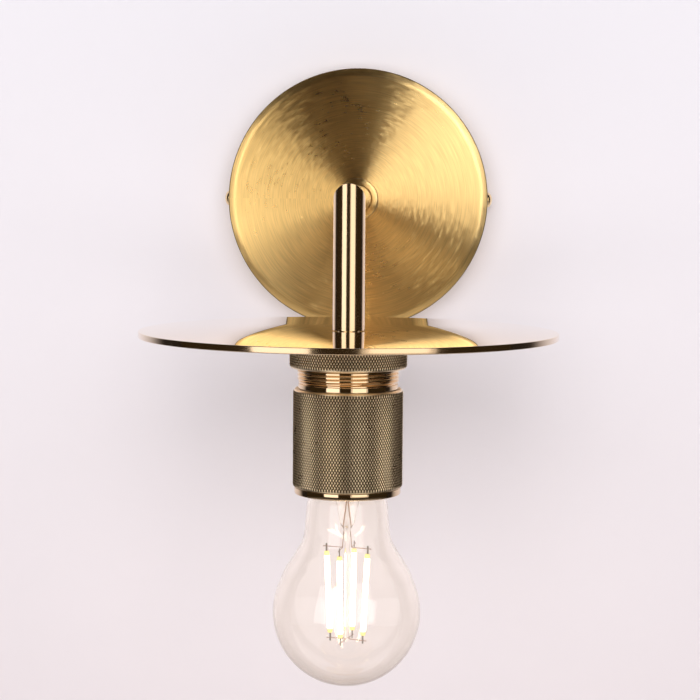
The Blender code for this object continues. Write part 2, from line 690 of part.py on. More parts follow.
def bulb_mount():
    """Glass stem with its centre post, four filament rods round it, and the wires that carry them."""
    stem = [
        (0, STEM_TOP),
        (10.6 * MM, STEM_TOP),
        (10.2 * MM, STEM_TOP - 1.5 * MM),
        (5.4 * MM, -118.5 * MM),
        (4.2 * MM, PRESS_TOP),
        (3.4 * MM, PRESS_BOTTOM),
        (1.3 * MM, PRESS_BOTTOM - 3 * MM),
        (1.1 * MM, POST_BOTTOM),
        (0, POST_BOTTOM),
    ]
    turned("bulb_stem", stem, LAMP_AXIS, clear_glass, 20, closed=False)
    axis = Vector((0, LAMP_Y, 0))
    top_radius, bottom_radius = 8.6 * MM, 6.9 * MM
    for i in range(FILAMENTS):
        angle = math.radians(-18 + 360 / FILAMENTS * i)
        out = Vector((math.cos(angle), math.sin(angle), 0))
        top = axis + out * top_radius + Vector((0, 0, FILAMENT_TOP))
        bottom = axis + out * bottom_radius + Vector((0, 0, FILAMENT_BOTTOM))
        rod(f"filament_{i + 1}", 1.05 * MM, top, bottom, phosphor, 10)
        tip = top + Vector((0, 0, GAP + 0.35 * MM))
        near = axis + out * 3.6 * MM + Vector((0, 0, FILAMENT_TOP + 3.0 * MM))
        root = axis + out * 4.2 * MM + Vector((0, 0, PRESS_BOTTOM + 0.5 * MM))
        route = [root, near, tip + Vector((0, 0, 2.0 * MM)), tip]
        wire(f"lead_wire_{i + 1}", route, 0.35 * MM, nickel, 1)
        foot = bottom - Vector((0, 0, GAP + 0.35 * MM))
        hub = axis + out * (1.1 * MM + GAP + 0.35 * MM) + Vector((0, 0, FILAMENT_BOTTOM - 2.0 * MM))
        wire(f"foot_wire_{i + 1}", [foot, foot - Vector((0, 0, 1.6 * MM)), hub], 0.35 * MM, nickel, 1)


wall_bracket()
bracket_hardware()
terminal_block()
canopy()
canopy_screws()
arm()
arm_fixings()
disc_and_nipple()
knurled_ring()
holder_cap()
holder_sleeve()
lip_ring()
ceramic_insert()
centre_contact()
holder_terminals()
wiring()
bulb_cap()
bulb_glass()
bulb_mount()
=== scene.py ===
import math
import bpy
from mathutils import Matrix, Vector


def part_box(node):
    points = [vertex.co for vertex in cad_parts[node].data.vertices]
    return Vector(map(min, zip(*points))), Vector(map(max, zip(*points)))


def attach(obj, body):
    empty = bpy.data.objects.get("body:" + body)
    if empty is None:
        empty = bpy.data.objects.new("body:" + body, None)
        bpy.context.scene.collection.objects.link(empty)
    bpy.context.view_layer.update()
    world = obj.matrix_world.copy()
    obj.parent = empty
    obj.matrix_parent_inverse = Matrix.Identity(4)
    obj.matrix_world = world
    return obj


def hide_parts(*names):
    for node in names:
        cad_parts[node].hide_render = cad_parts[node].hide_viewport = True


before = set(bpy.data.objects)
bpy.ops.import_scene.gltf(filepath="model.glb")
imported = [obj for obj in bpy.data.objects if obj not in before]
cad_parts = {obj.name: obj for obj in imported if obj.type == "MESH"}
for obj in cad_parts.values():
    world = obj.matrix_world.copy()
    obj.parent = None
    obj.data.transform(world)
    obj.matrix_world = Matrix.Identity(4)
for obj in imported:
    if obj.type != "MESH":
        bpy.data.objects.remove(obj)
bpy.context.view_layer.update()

from types import SimpleNamespace

import bmesh
import bpy
from mathutils import Matrix, Quaternion, Vector


# ---- Camera -------------------------------------------------------------------------------------------
# The light hangs at eye height and is seen almost square on, from a little to the right of its arm. The
# lens is a short telephoto, so the disc shows as a thin ellipse.

camera_lens = 92.7
camera_right_of_lamp = 0.0207
camera_from_lamp = 0.7297
camera_height = 0.0020
camera_turn = 0.0275
camera_dip = 0.0859
camera_roll = 0.0074

sleeve_low, sleeve_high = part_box("holder_sleeve")
lamp_y = (sleeve_low.y + sleeve_high.y) / 2
lamp_axis = Matrix.Translation((0, lamp_y, 0))

camera = bpy.data.objects.new("camera", bpy.data.cameras.new("camera"))
camera.data.sensor_width = 36.0
camera.data.lens = camera_lens
camera.location = (camera_right_of_lamp, lamp_y - camera_from_lamp, camera_height)
camera.rotation_mode = "QUATERNION"
camera.rotation_quaternion = (
    Quaternion((0, 0, 1), camera_turn)
    @ Quaternion((1, 0, 0), math.pi / 2 - camera_dip)
    @ Quaternion((0, 0, 1), camera_roll)
)
bpy.context.scene.collection.objects.link(camera)
bpy.context.scene.camera = camera
bpy.context.scene.view_settings.view_transform = "Standard"


# ---- Studio wall and floor ----------------------------------------------------------------------------
# A pale painted wall that the light hangs on and a pale floor well below it. Both are staging. The wall
# shows from the room side only, so that the back of the light can be looked at too.

wall_half = 1.6
floor_height = -1.1
wall_high_colour = (0.93, 0.915, 0.965)
wall_low_colour = (0.826, 0.758, 0.776)
wall_dim_colour = (0.02, 0.016, 0.014, 1)
wall_low, wall_high = -0.30, 0.12
floor_colour = (0.84, 0.82, 0.81)
lit_radius, dim_radius = 0.10, 0.56


def plug(tree, node, *in_order, **by_name):
    """Fills inputs, in order or by name with _ for spaces, with plain values or other nodes' outputs."""
    named = [(node.inputs[label.replace("_", " ")], value) for label, value in by_name.items()]
    for socket, value in [*zip(node.inputs, in_order), *named]:
        value = getattr(value, "socket", value)
        if isinstance(value, bpy.types.NodeSocket):
            tree.links.new(value, socket)
        else:
            socket.default_value = value


def step(tree, kind, *in_order, **by_name):
    """Adds one node. Names in small letters are its settings and the others are its inputs."""
    node = tree.nodes.new(kind)
    for label in [label for label in by_name if label.islower()]:
        setattr(node, label, by_name.pop(label))
    plug(tree, node, *in_order, **by_name)
    return node


def calc(tree, operation, *values):
    """One sum on numbers or on other nodes' outputs."""
    return step(tree, "ShaderNodeMath", *values, operation=operation).outputs[0]


def principled(name, **finish):
    """A material with its main shader finished as given. Returns (material, tree, shader)."""
    made = bpy.data.materials.new(name)
    made.use_nodes = True
    tree = made.node_tree
    shader = tree.nodes["Principled BSDF"]
    plug(tree, shader, **finish)
    return made, tree, shader


def own_place(tree):
    """Each point's place on its piece, which stays put when the piece moves."""
    return tree.nodes.new("ShaderNodeTexCoord").outputs["Object"]


def noise(tree, place, scale, detail=2.0):
    """A smooth random pattern from 0 to 1."""
    return step(tree, "ShaderNodeTexNoise", Vector=place, Scale=scale, Detail=detail).outputs["Fac"]


def spread(tree, value, low, high, to_low=0.0, to_high=1.0, **settings):
    """Rescales a value from one range to another and clamps it there."""
    given = dict(Value=value, From_Min=low, From_Max=high, To_Min=to_low, To_Max=to_high)
    return step(tree, "ShaderNodeMapRange", **given, **settings).outputs[0]


def blend(tree, share, first, second):
    """A colour between two others."""
    return step(tree, "ShaderNodeMix", data_type="RGBA", Factor=share, A=first, B=second).outputs["Result"]


def painted(name, colour):
    """A matt paint."""
    return principled(name, Base_Color=(*colour, 1), Roughness=0.9, Specular_IOR_Level=0.1)


def wall_paint():
    """Paint that is warmer towards the floor: painted bounce light from the floor. Metal sees it fade to a
    painted dim beyond a lit pool round the lamp, and it is clear from behind.
    """
    made, tree, shader = painted("wall_paint", wall_high_colour)
    place = own_place(tree)
    height = step(tree, "ShaderNodeSeparateXYZ", place).outputs["Z"]
    # Painted light: the colour warms towards the bottom in place of bounce light from the floor.
    painted_floor_bounce = spread(tree, height, wall_low, wall_high)
    tone = blend(tree, painted_floor_bounce, (*wall_low_colour, 1), (*wall_high_colour, 1))
    # Painted light: in metal the wall darkens to near black outside a lit pool round the lamp, in place of
    # the light's falloff.
    away = step(tree, "ShaderNodeVectorMath", place, operation="LENGTH").outputs["Value"]
    fade = spread(tree, away, lit_radius, dim_radius, interpolation_type="SMOOTHERSTEP")
    in_metal = tree.nodes.new("ShaderNodeLightPath").outputs["Is Glossy Ray"]
    faded = blend(tree, calc(tree, "MULTIPLY", fade, in_metal), tone, wall_dim_colour)
    plug(tree, shader, Base_Color=faded)
    clear = tree.nodes.new("ShaderNodeBsdfTransparent")
    behind = tree.nodes.new("ShaderNodeNewGeometry").outputs["Backfacing"]
    one_sided = step(tree, "ShaderNodeMixShader", behind, shader.outputs[0], clear.outputs[0])
    plug(tree, tree.nodes["Material Output"], one_sided.outputs[0])
    return made


def added(name, mesh, material, sharp=None):
    """Puts a mesh in the scene in one material, shaded smooth up to the sharp angle if there is one."""
    mesh.materials.clear()
    mesh.materials.append(material)
    if sharp:
        mesh.shade_smooth()
        mesh.set_sharp_from_angle(angle=math.radians(sharp))
    made = bpy.data.objects.new(name, mesh)
    bpy.context.scene.collection.objects.link(made)
    return made


def added_shape(name, shape, material, sharp=None):
    """Puts an edited shape in the scene as a mesh of its own."""
    mesh = bpy.data.meshes.new(name)
    shape.to_mesh(mesh)
    shape.free()
    return added(name, mesh, material, sharp)


def stage_plane(name, half, place, material):
    shape = bmesh.new()
    bmesh.ops.create_grid(shape, x_segments=1, y_segments=1, size=half)
    shape.transform(place)
    made = added_shape(name, shape, material)
    return made


wall_place = Matrix.Translation((0, 0.0006, 0)) @ Matrix.Rotation(math.pi / 2, 4, "X")
floor_paint = painted("floor_paint", floor_colour)[0]
studio_wall = stage_plane("studio_wall", wall_half, wall_place, wall_paint())
stage_plane("studio_floor", 2.2 * wall_half, Matrix.Translation((0, 0, floor_height)), floor_paint)


# ---- Studio lights ------------------------------------------------------------------------------------
# A tall soft box at the front left and a broad one at the front right, in a dark room: polished brass
# shows them as two bright stripes. The brushed canopy has a pair of its own. Wide fills light the wall and
# don't show in the metal, and a lamp behind, which the wall doesn't block, lights the works in the canopy.

for_canopy = bpy.data.collections.new("for_canopy")
for_the_rest = bpy.data.collections.new("for_the_rest")
inside_canopy = bpy.data.collections.new("inside_canopy")
behind_wall = bpy.data.collections.new("behind_wall")
behind_wall.objects.link(studio_wall)
behind_wall.collection_objects[0].light_linking.link_state = "EXCLUDE"


def soft_box(name, azimuth, distance, width, low, high, radiance, colour, shape="RECTANGLE", lights=None):
    """A lamp that faces the holder; azimuth is measured from straight in front, to the right."""
    height = high - low
    area = width * height * (math.pi / 4 if shape == "ELLIPSE" else 1)
    data = bpy.data.lights.new(name, "AREA")
    data.shape = shape
    data.size = width
    data.size_y = height
    data.color = colour
    data.energy = radiance * area * math.pi
    lamp = bpy.data.objects.new(name, data)
    turn = math.radians(azimuth)
    aim = Vector((0, lamp_y, (low + high) / 2))
    lamp.location = aim + distance * Vector((math.sin(turn), -math.cos(turn), 0))
    lamp.rotation_euler = (lamp.location - aim).to_track_quat("Z", "Y").to_euler()
    lamp.visible_camera = False
    lamp.visible_diffuse = False
    if lights:
        lamp.light_linking.receiver_collection = lights
    bpy.context.scene.collection.objects.link(lamp)
    return lamp


def wall_fill(name, azimuth, distance, width, low, high, radiance, colour):
    lamp = soft_box(name, azimuth, distance, width, low, high, radiance, colour)
    lamp.visible_diffuse = True
    lamp.visible_glossy = False
    lamp.visible_transmission = False
    return lamp


soft_box("soft_box_left", -33.4, 1.15, 0.64, -0.33, 0.50, 1.5, (1.0, 0.985, 0.99), lights=for_the_rest)
soft_box("soft_box_right", 27.5, 1.15, 0.815, -0.33, 0.85, 0.75, (1.0, 0.95, 0.90), lights=for_the_rest)
soft_box("soft_box_right_core", 27.5, 1.14, 0.64, -0.24, 0.75, 0.70, (1.0, 0.95, 0.90), lights=for_the_rest)
soft_box("canopy_lamp_left", -33.5, 1.15, 0.64, -0.26, 0.47, 3.3, (1.0, 1.0, 1.05), lights=for_canopy)
soft_box("canopy_lamp_right", 27.5, 1.15, 0.80, -0.16, 0.94, 4.2, (1.0, 1.05, 1.26), "ELLIPSE", for_canopy)
wall_fill("wall_fill_left", -14, 2.3, 1.5, -0.6, 1.2, 3.6, (1.0, 0.985, 1.0))
wall_fill("wall_fill_right", 14, 2.3, 1.5, -0.6, 1.2, 3.6, (1.0, 0.985, 1.0))
back_lamp = soft_box("back_lamp", 168, 1.5, 0.9, -0.4, 0.5, 1.15, (1.0, 0.98, 0.95), lights=inside_canopy)
back_lamp.visible_diffuse = True
back_lamp.light_linking.blocker_collection = behind_wall

world = bpy.data.worlds.new("dark_room")
bpy.context.scene.world = world
world.use_nodes = True
room = world.node_tree
plug(room, room.nodes["Background"], (0.028, 0.019, 0.009, 1))
pale_surround = step(room, "ShaderNodeBackground", (0.86, 0.83, 0.83, 1))
seen = room.nodes.new("ShaderNodeLightPath")
seen_clear = calc(room, "MAXIMUM", seen.outputs["Is Camera Ray"], seen.outputs["Is Transmission Ray"])
surround = step(
    room, "ShaderNodeMixShader", seen_clear, room.nodes["Background"].outputs[0], pale_surround.outputs[0]
)
plug(room, room.nodes["World Output"], surround.outputs[0])


# ---- Canopy -------------------------------------------------------------------------------------------
# A spun brass cup with a rolled front edge, open at the wall. Its face is brushed in circles round the
# arm, and lacquered. A clearance hole at each side takes a screw.


def round_box(node):
    """The low and high corners of a round piece, and its outer radius."""
    low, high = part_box(node)
    return low, high, (high.x - low.x) / 2


wall_axis = Matrix.Rotation(math.pi / 2, 4, "X")
canopy_low, _, canopy_radius = round_box("canopy")
canopy_depth = -canopy_low.y
canopy_wall = 0.0012
canopy_edge = 0.0038
quarter_turn = 0.25
arm_hole = 0.0048


def rounded(corners, segments=5):
    """An outline from (radius, height, fillet) corners; each fillet becomes a short arc."""
    outline = []
    count = len(corners)
    for i, (radius, height, fillet) in enumerate(corners):
        here = Vector((radius, height))
        if not fillet:
            outline.append(tuple(here))
            continue
        back = (Vector(corners[i - 1][:2]) - here).normalized()
        on = (Vector(corners[(i + 1) % count][:2]) - here).normalized()
        half = back.angle(on) / 2
        centre = here + (back + on).normalized() * (fillet / math.sin(half))
        start = here + back * (fillet / math.tan(half)) - centre
        sweep = (here + on * (fillet / math.tan(half)) - centre).angle_signed(start)
        for step in range(segments + 1):
            arm = start.copy()
            arm.rotate(Matrix.Rotation(sweep * step / segments, 2))
            outline.append(tuple(centre + arm))
    return outline


def lathe(name, outline, place, material, steps=128, closed=True, sharp=35):
    """Turns an outline round its axis, with U round the piece and V along the outline as its UV map."""
    count = len(outline)
    rows = []
    verts = []
    for radius, height in outline:
        if radius < 1e-7:
            rows.append([len(verts)] * steps)
            verts.append((0, 0, height))
            continue
        rows.append(list(range(len(verts), len(verts) + steps)))
        turns = (2 * math.pi * k / steps for k in range(steps))
        verts += [(radius * math.cos(t), radius * math.sin(t), height) for t in turns]
    faces, uvs = [], []
    for i in range(count if closed else count - 1):
        upper, lower = rows[i], rows[(i + 1) % count]
        for k in range(steps):
            n = (k + 1) % steps
            corners = [(upper[k], k, i), (lower[k], k, i + 1)]
            corners += [(lower[n], k + 1, i + 1), (upper[n], k + 1, i)]
            if upper[k] == upper[n]:
                corners.pop()
            elif lower[k] == lower[n]:
                corners.pop(1)
            faces.append([c[0] for c in corners])
            uvs += [(c[1] / steps, c[2] / count) for c in corners]
    mesh = bpy.data.meshes.new(name)
    mesh.from_pydata(verts, [], faces)
    layer = mesh.uv_layers.new(name="turning")
    for corner, uv in zip(layer.data, uvs):
        corner.uv = uv
    mesh.transform(place)
    return added(name, mesh, material, sharp)


def turned(name, material, corners, segments=5, place=None, **rest):
    """Lathes (radius, height, fillet) corners, round the lamp's axis unless another place is given."""
    return lathe(name, rounded(corners, segments), place or lamp_axis, material, **rest)


def applied(piece):
    """Swaps a piece's modifiers for the plain mesh that they make."""
    bpy.context.view_layer.update()
    result = bpy.data.meshes.new_from_object(piece.evaluated_get(bpy.context.evaluated_depsgraph_get()))
    piece.modifiers.clear()
    piece.data = result
    return piece


def settled(piece, body, slot, *nodes):
    """Fixes a finished piece to the body it moves with, in place of the nodes it stands for."""
    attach(piece, body)
    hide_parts(*nodes)
    return piece


def metal(name, colour, edge_colour, roughness, anisotropic=0.0, coat=0.0):
    """A metal whose colour pales towards grazing views, as alloys do. Returns (material, tree, shader)."""
    finish = dict(Roughness=roughness, Anisotropic=anisotropic, Coat_Weight=coat, Coat_Roughness=0.05)
    made, tree, shader = principled(name, Metallic=1.0, **finish)
    facing = step(tree, "ShaderNodeLayerWeight", Blend=0.22).outputs["Facing"]
    plug(tree, shader, Base_Color=blend(tree, facing, (*colour, 1), (*edge_colour, 1)))
    if anisotropic:
        round_piece = step(tree, "ShaderNodeTangent", direction_type="UV_MAP", uv_map="turning").outputs[0]
        plug(tree, shader, Tangent=round_piece, Anisotropic_Rotation=quarter_turn)
    return made, tree, shader


def roughness_from(tree, shader, source, low, high):
    """Drives roughness between two limits from a 0 to 1 pattern."""
    plug(tree, shader, Roughness=spread(tree, source, 0.0, 1.0, low, high))


def brushed_in_circles():
    """Circular brushing: fine scratches round the arm, uneven pressure, a faint finger mark, and painted
    shade that darkens the rolled front edge.
    """
    made, tree, shader = metal(
        "brushed_brass", (0.90, 0.585, 0.20), (1.0, 0.80, 0.52), 0.30, anisotropic=0.97, coat=0.1
    )
    plug(tree, shader, Coat_Roughness=0.28)
    place = tree.nodes.new("ShaderNodeTexCoord")
    split = step(tree, "ShaderNodeSeparateXYZ", place.outputs["Object"])
    flat = step(tree, "ShaderNodeCombineXYZ", split.outputs["X"], split.outputs["Z"]).outputs[0]
    radius = step(tree, "ShaderNodeVectorMath", flat, operation="LENGTH").outputs["Value"]
    angle = calc(tree, "ARCTAN2", split.outputs["Z"], split.outputs["X"])
    polar = step(tree, "ShaderNodeCombineXYZ", radius, angle).outputs[0]

    def stroke_noise(across, along, detail):
        stretch = step(tree, "ShaderNodeMapping", Vector=polar, Scale=(across, along, 1))
        return noise(tree, stretch.outputs[0], 1.0, detail)

    strokes = stroke_noise(680, 8, 2.0)
    streak = spread(tree, stroke_noise(1900, 3, 1.0), 0.3, 0.7, 0.84, 1.06)
    # Painted shade: where the face turns over into the rolled edge, the base colour drops to 30 per cent.
    facing_out = step(tree, "ShaderNodeSeparateXYZ", place.outputs["Normal"]).outputs["Y"]
    corner = calc(tree, "COMPARE", calc(tree, "ABSOLUTE", facing_out), 0.48, 0.34)
    painted_edge_shade = calc(tree, "MULTIPLY", corner, calc(tree, "GREATER_THAN", radius, 0.05))
    shade = calc(tree, "MULTIPLY", streak, spread(tree, painted_edge_shade, 0.0, 1.0, 1.0, 0.30))
    clean = shader.inputs["Base Color"].links[0].from_socket
    shaded = step(tree, "ShaderNodeVectorMath", clean, operation="SCALE", Scale=shade).outputs[0]
    sway = spread(tree, strokes, 0.25, 0.75, quarter_turn - brush_sway, quarter_turn + brush_sway)
    plug(tree, shader, Base_Color=shaded, Anisotropic_Rotation=sway)
    pressure = noise(tree, place.outputs["Object"], 28.0, 4.0)
    uneven = step(tree, "ShaderNodeMix", Factor=0.5, A=pressure, B=strokes).outputs["Result"]
    own = place.outputs["Object"]
    from_mark = step(tree, "ShaderNodeVectorMath", own, finger_mark, operation="DISTANCE")
    mark = spread(tree, from_mark.outputs["Value"], *finger_mark_edge, 0.22, 0.0)
    roughness_from(tree, shader, calc(tree, "ADD", uneven, mark), 0.20, 0.40)
    return made


brush_sway = 0.027
finger_mark = (0.001, canopy_low.y, 0.0525)
finger_mark_edge = (0.0062, 0.0080)
brushed_brass = brushed_in_circles()
canopy = turned("canopy_cup", brushed_brass, [
    (arm_hole, canopy_depth, 0),
    (canopy_radius - 0.0030, canopy_depth, 0.006),
    (canopy_radius, canopy_depth - 0.0013, 0.0009),
    (canopy_radius, 0.0, 0.0003),
    (canopy_radius - canopy_wall, 0.0, 0.0003),
    (canopy_radius - canopy_wall, canopy_depth - canopy_wall, canopy_edge - canopy_wall),
    (arm_hole, canopy_depth - canopy_wall, 0),
], segments=8, place=wall_axis, steps=256)
for_canopy.objects.link(canopy)
inside_canopy.objects.link(canopy)
for_the_rest.objects.link(canopy)
for_the_rest.collection_objects[0].light_linking.link_state = "EXCLUDE"
settled(canopy, "fixture", "brushed_brass", "canopy")


# ---- Canopy screws ------------------------------------------------------------------------------------
# Two small brass screws with domed, slotted heads. They go through the canopy's side wall at three and
# nine o'clock into the ears of the bracket, and hold the canopy to the wall.

screw_low, screw_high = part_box("canopy_screw_right")
screw_head = (screw_high.z - screw_low.z) / 2
screw_dome = screw_high.x - canopy_radius
screw_shank = 0.00195
screw_slot = 0.0007
screw_length = 0.0085
seat_gap = 0.0001
screw_y = (screw_low.y + screw_high.y) / 2


class Number:
    """A value that nodes work out; each sum done on it adds a math node to its tree."""

    def __init__(self, tree, socket):
        self.tree, self.socket = tree, socket

    def math(self, operation, *others):
        return Number(self.tree, calc(self.tree, operation, self, *others))

    def __add__(self, other):
        return self.math("ADD", other)

    def __sub__(self, other):
        return self.math("SUBTRACT", other)

    def __rsub__(self, other):
        return Number(self.tree, calc(self.tree, "SUBTRACT", other, self))

    def __mul__(self, other):
        return self.math("MULTIPLY", other)

    def __truediv__(self, other):
        return self.math("DIVIDE", other)


def node_tree(name, **sizes):
    """A Geometry Nodes tree with a geometry input, named inputs and a geometry output."""
    tree = bpy.data.node_groups.new(name, "GeometryNodeTree")
    for label, kind in {"Geometry": "Geometry", **sizes}.items():
        tree.interface.new_socket(label, in_out="INPUT", socket_type="NodeSocket" + kind)
    tree.interface.new_socket("Geometry", in_out="OUTPUT", socket_type="NodeSocketGeometry")
    given = tree.nodes.new("NodeGroupInput").outputs
    return tree, SimpleNamespace(**{socket.name: Number(tree, socket) for socket in given if socket.name})


def closing(tree, geometry, material, merge=0.0):
    """The end of every tree: real faces, welded if asked for, in the piece's material."""
    last = step(tree, "GeometryNodeRealizeInstances", Geometry=geometry).outputs[0]
    if merge:
        last = step(tree, "GeometryNodeMergeByDistance", Geometry=last, Distance=merge).outputs[0]
    last = step(tree, "GeometryNodeSetMaterial", Geometry=last, Material=material).outputs[0]
    tree.links.new(last, tree.nodes.new("NodeGroupOutput").inputs[0])


def grown(piece, tree, material, sharp=30, **sizes):
    """Runs a tree on a piece and keeps the plain mesh that it makes."""
    modifier = piece.modifiers.new(tree.name, "NODES")
    modifier.node_group = tree
    sizes["Material"] = material
    for item in tree.interface.items_tree:
        if item.in_out == "INPUT" and item.name in sizes:
            modifier[item.identifier] = sizes[item.name]
    applied(piece)
    piece.data.shade_smooth()
    piece.data.set_sharp_from_angle(angle=math.radians(sharp))
    return piece


def copies_round_axis():
    """Copies of a piece, evenly spaced round an axis through a centre."""
    tree, given = node_tree(
        "copies_round_axis", Count="Int", Start="Float", Axis="Vector", Centre="Vector", Material="Material"
    )
    points = step(tree, "GeometryNodePoints", Count=given.Count, Position=given.Centre).outputs[0]
    index = Number(tree, tree.nodes.new("GeometryNodeInputIndex").outputs[0])
    angle = index * (2 * math.pi) / given.Count + given.Start
    turn = step(tree, "FunctionNodeAxisAngleToRotation", Axis=given.Axis, Angle=angle).outputs[0]
    copied = dict(Points=points, Instance=given.Geometry, Rotation=turn)
    placed = step(tree, "GeometryNodeInstanceOnPoints", **copied).outputs[0]
    closing(tree, placed, given.Material)
    return tree


def block(shape, size, centre=(0, 0, 0)):
    """Adds a box to a shape and returns its corners."""
    corners = bmesh.ops.create_cube(shape, size=1.0)["verts"]
    bmesh.ops.scale(shape, vec=size, verts=corners)
    bmesh.ops.translate(shape, vec=centre, verts=corners)
    return corners


def turned_brass():
    """Plain turned brass: fine lathe marks and a soft shine."""
    made, tree, shader = metal("turned_brass", (0.83, 0.60, 0.30), (1.0, 0.88, 0.68), 0.16)
    marks = noise(tree, own_place(tree), 900.0)
    roughness_from(tree, shader, marks, 0.10, 0.26)
    return made


round_copies = copies_round_axis()
raw_brass = turned_brass()
slopes = [math.radians(90 - 10 * i) for i in range(10)]
dome = [(screw_head * math.cos(t), screw_dome * math.sin(t)) for t in slopes]
head_outline = [(0.0, dome[0][1]), *dome[1:], (screw_head, -seat_gap), (screw_shank, -seat_gap)]
head_outline += [(screw_shank, -screw_length), (0.0, -screw_length)]
lying = Matrix.Translation((canopy_radius + seat_gap, 0, 0)) @ Matrix.Rotation(math.pi / 2, 4, "Y")
canopy_screws = lathe("canopy_screws", head_outline, lying, raw_brass, steps=40, closed=False)
slot_shape = bmesh.new()
block(slot_shape, (0.002, screw_slot, 0.02), (canopy_radius + screw_dome, 0, 0))
slot_cutter = added_shape("slot_cutter", slot_shape, raw_brass)
slotting = canopy_screws.modifiers.new("slot", "BOOLEAN")
slotting.object = slot_cutter
applied(canopy_screws)
bpy.data.objects.remove(slot_cutter)
across_wall = dict(Start=0.0, Axis=(0.0, 1.0, 0.0))
grown(canopy_screws, round_copies, raw_brass, Count=2, Centre=(0.0, screw_y, 0.0), **across_wall)
settled(canopy_screws, "fixture", "raw_brass", "canopy_screw_left", "canopy_screw_right")


# ---- Arm collar ---------------------------------------------------------------------------------------
# A thin brass flange round the foot of the arm, brushed together with the canopy so that it hardly shows.
# The arm's nut draws it against the face of the canopy.

collar_low, collar_high, collar_radius = round_box("arm_collar")
collar_bore = 0.0068
collar = turned("collar_flange", brushed_brass, [
    (collar_bore, -collar_low.y, 0.0003),
    (collar_radius, -collar_low.y, 0.0013),
    (collar_radius, -collar_high.y, 0),
    (collar_bore, -collar_high.y, 0),
], place=wall_axis, steps=96)
settled(collar, "fixture", "brushed_brass", "arm_collar")
for_canopy.objects.link(collar)
for_the_rest.objects.link(collar)
for_the_rest.collection_objects[1].light_linking.link_state = "EXCLUDE"


# ---- Arm ----------------------------------------------------------------------------------------------
# One size of brass tube in two lengths, cut at 45 degrees, silver-soldered at the corner and polished
# along its length. The rear end meets the collar and the lower end stands on the disc.

tube_low, tube_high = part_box("arm_tube_vertical")
tube_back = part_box("arm_tube_horizontal")[1].y
tube_radius = (tube_high.x - tube_low.x) / 2
tube_bore = 0.0048
tube_foot = tube_low.z


def polished(name, colour, edge_colour, low, high, marks_scale):
    """Polished brass under clear lacquer: a clean reflection with the faint haze of a cloth."""
    made, tree, shader = metal(name, colour, edge_colour, low)
    place = own_place(tree)
    stretch = step(tree, "ShaderNodeMapping", Vector=place, Scale=marks_scale)
    haze = noise(tree, stretch.outputs[0], 1.0, 5.0)
    roughness_from(tree, shader, haze, low, high)
    bump = step(tree, "ShaderNodeBump", Strength=0.04, Distance=0.00008, Height=haze)
    plug(tree, shader, Normal=bump.outputs[0])
    return made


tube_brass = polished("tube_brass", (0.87, 0.64, 0.40), (0.90, 0.74, 0.62), 0.08, 0.17, (700, 30, 30))


def mitred_tube(name, radius, bore, back, foot, corner_y, material, steps=96, seam=0.00005):
    """Outer and inner skins swept from the wall end, through the corner plane, down to the foot."""
    rows = []
    for skin in (radius, bore):
        bands = [0.0006, seam, -seam, -0.0006]
        path = [("along", back), *(("corner", band) for band in bands), ("down", foot)]
        for kind, value in path if skin == radius else reversed(path):
            row = []
            for k in range(steps):
                t = 2 * math.pi * k / steps
                x, offset = skin * math.cos(t), skin * math.sin(t)
                if kind == "along":
                    row.append((x, value, offset))
                elif kind == "down":
                    row.append((x, corner_y - offset, value))
                elif value > 0:
                    row.append((x, corner_y - offset + value, offset))
                else:
                    row.append((x, corner_y - offset, offset + value))
            rows.append(row)
    faces = []
    for i in range(len(rows)):
        upper, lower = i * steps, (i + 1) % len(rows) * steps
        for k in range(steps):
            n = (k + 1) % steps
            faces.append((upper + k, upper + n, lower + n, lower + k))
    shape = bmesh.new()
    points = [shape.verts.new(point) for row in rows for point in row]
    for face in faces:
        shape.faces.new([points[corner] for corner in face])
    bmesh.ops.recalc_face_normals(shape, faces=shape.faces)
    return added_shape(name, shape, material, sharp=12)


arm = mitred_tube("arm_tube", tube_radius, tube_bore, tube_back, tube_foot, lamp_y, tube_brass)
settled(arm, "fixture", "polished_brass", "arm_tube_horizontal", "arm_tube_vertical")


# ---- Disc ---------------------------------------------------------------------------------------------
# A flat spun plate, polished to a mirror on both faces and lacquered. Specks of dust lie on the top.
# A small hole in its middle takes the nipple that ties it and the lamp holder to the arm.

disc_low, disc_high, disc_radius = round_box("disc")


def mirror_brass():
    """A mirror polish with faint wiping marks, a duller edge and a few pale specks of dust."""
    made, tree, shader = metal("mirror_brass", (0.86, 0.62, 0.38), (1.0, 0.95, 0.90), 0.03)
    place = tree.nodes.new("ShaderNodeTexCoord")
    cells = step(tree, "ShaderNodeTexVoronoi", Vector=place.outputs["Object"], Scale=210.0)
    near = calc(tree, "LESS_THAN", cells.outputs["Distance"], 0.055)
    chosen = calc(tree, "GREATER_THAN", noise(tree, place.outputs["Object"], 45.0), 0.56)
    dust = step(tree, "ShaderNodeBsdfPrincipled", Base_Color=(0.95, 0.88, 0.70, 1), Roughness=0.9)
    specks = calc(tree, "MULTIPLY", near, chosen)
    dusty = step(tree, "ShaderNodeMixShader", specks, shader.outputs[0], dust.outputs[0])
    plug(tree, tree.nodes["Material Output"], dusty.outputs[0])
    wiped = calc(tree, "MULTIPLY", noise(tree, place.outputs["Object"], 9.0, 6.0), 0.25)
    facing_up = step(tree, "ShaderNodeSeparateXYZ", place.outputs["Normal"]).outputs["Z"]
    rim = spread(tree, calc(tree, "ABSOLUTE", facing_up), 0.5, 0.9, 1.0, 0.0)
    roughness_from(tree, shader, calc(tree, "MAXIMUM", wiped, rim), 0.0, 0.12)
    return made


polished_disc = mirror_brass()
disc = turned("disc_plate", polished_disc, [
    (arm_hole, disc_high.z, 0),
    (disc_radius, disc_high.z, 0.0003),
    (disc_radius, disc_low.z, 0.0003),
    (arm_hole, disc_low.z, 0),
], steps=320, sharp=25)
settled(disc, "fixture", "polished_brass", "disc")


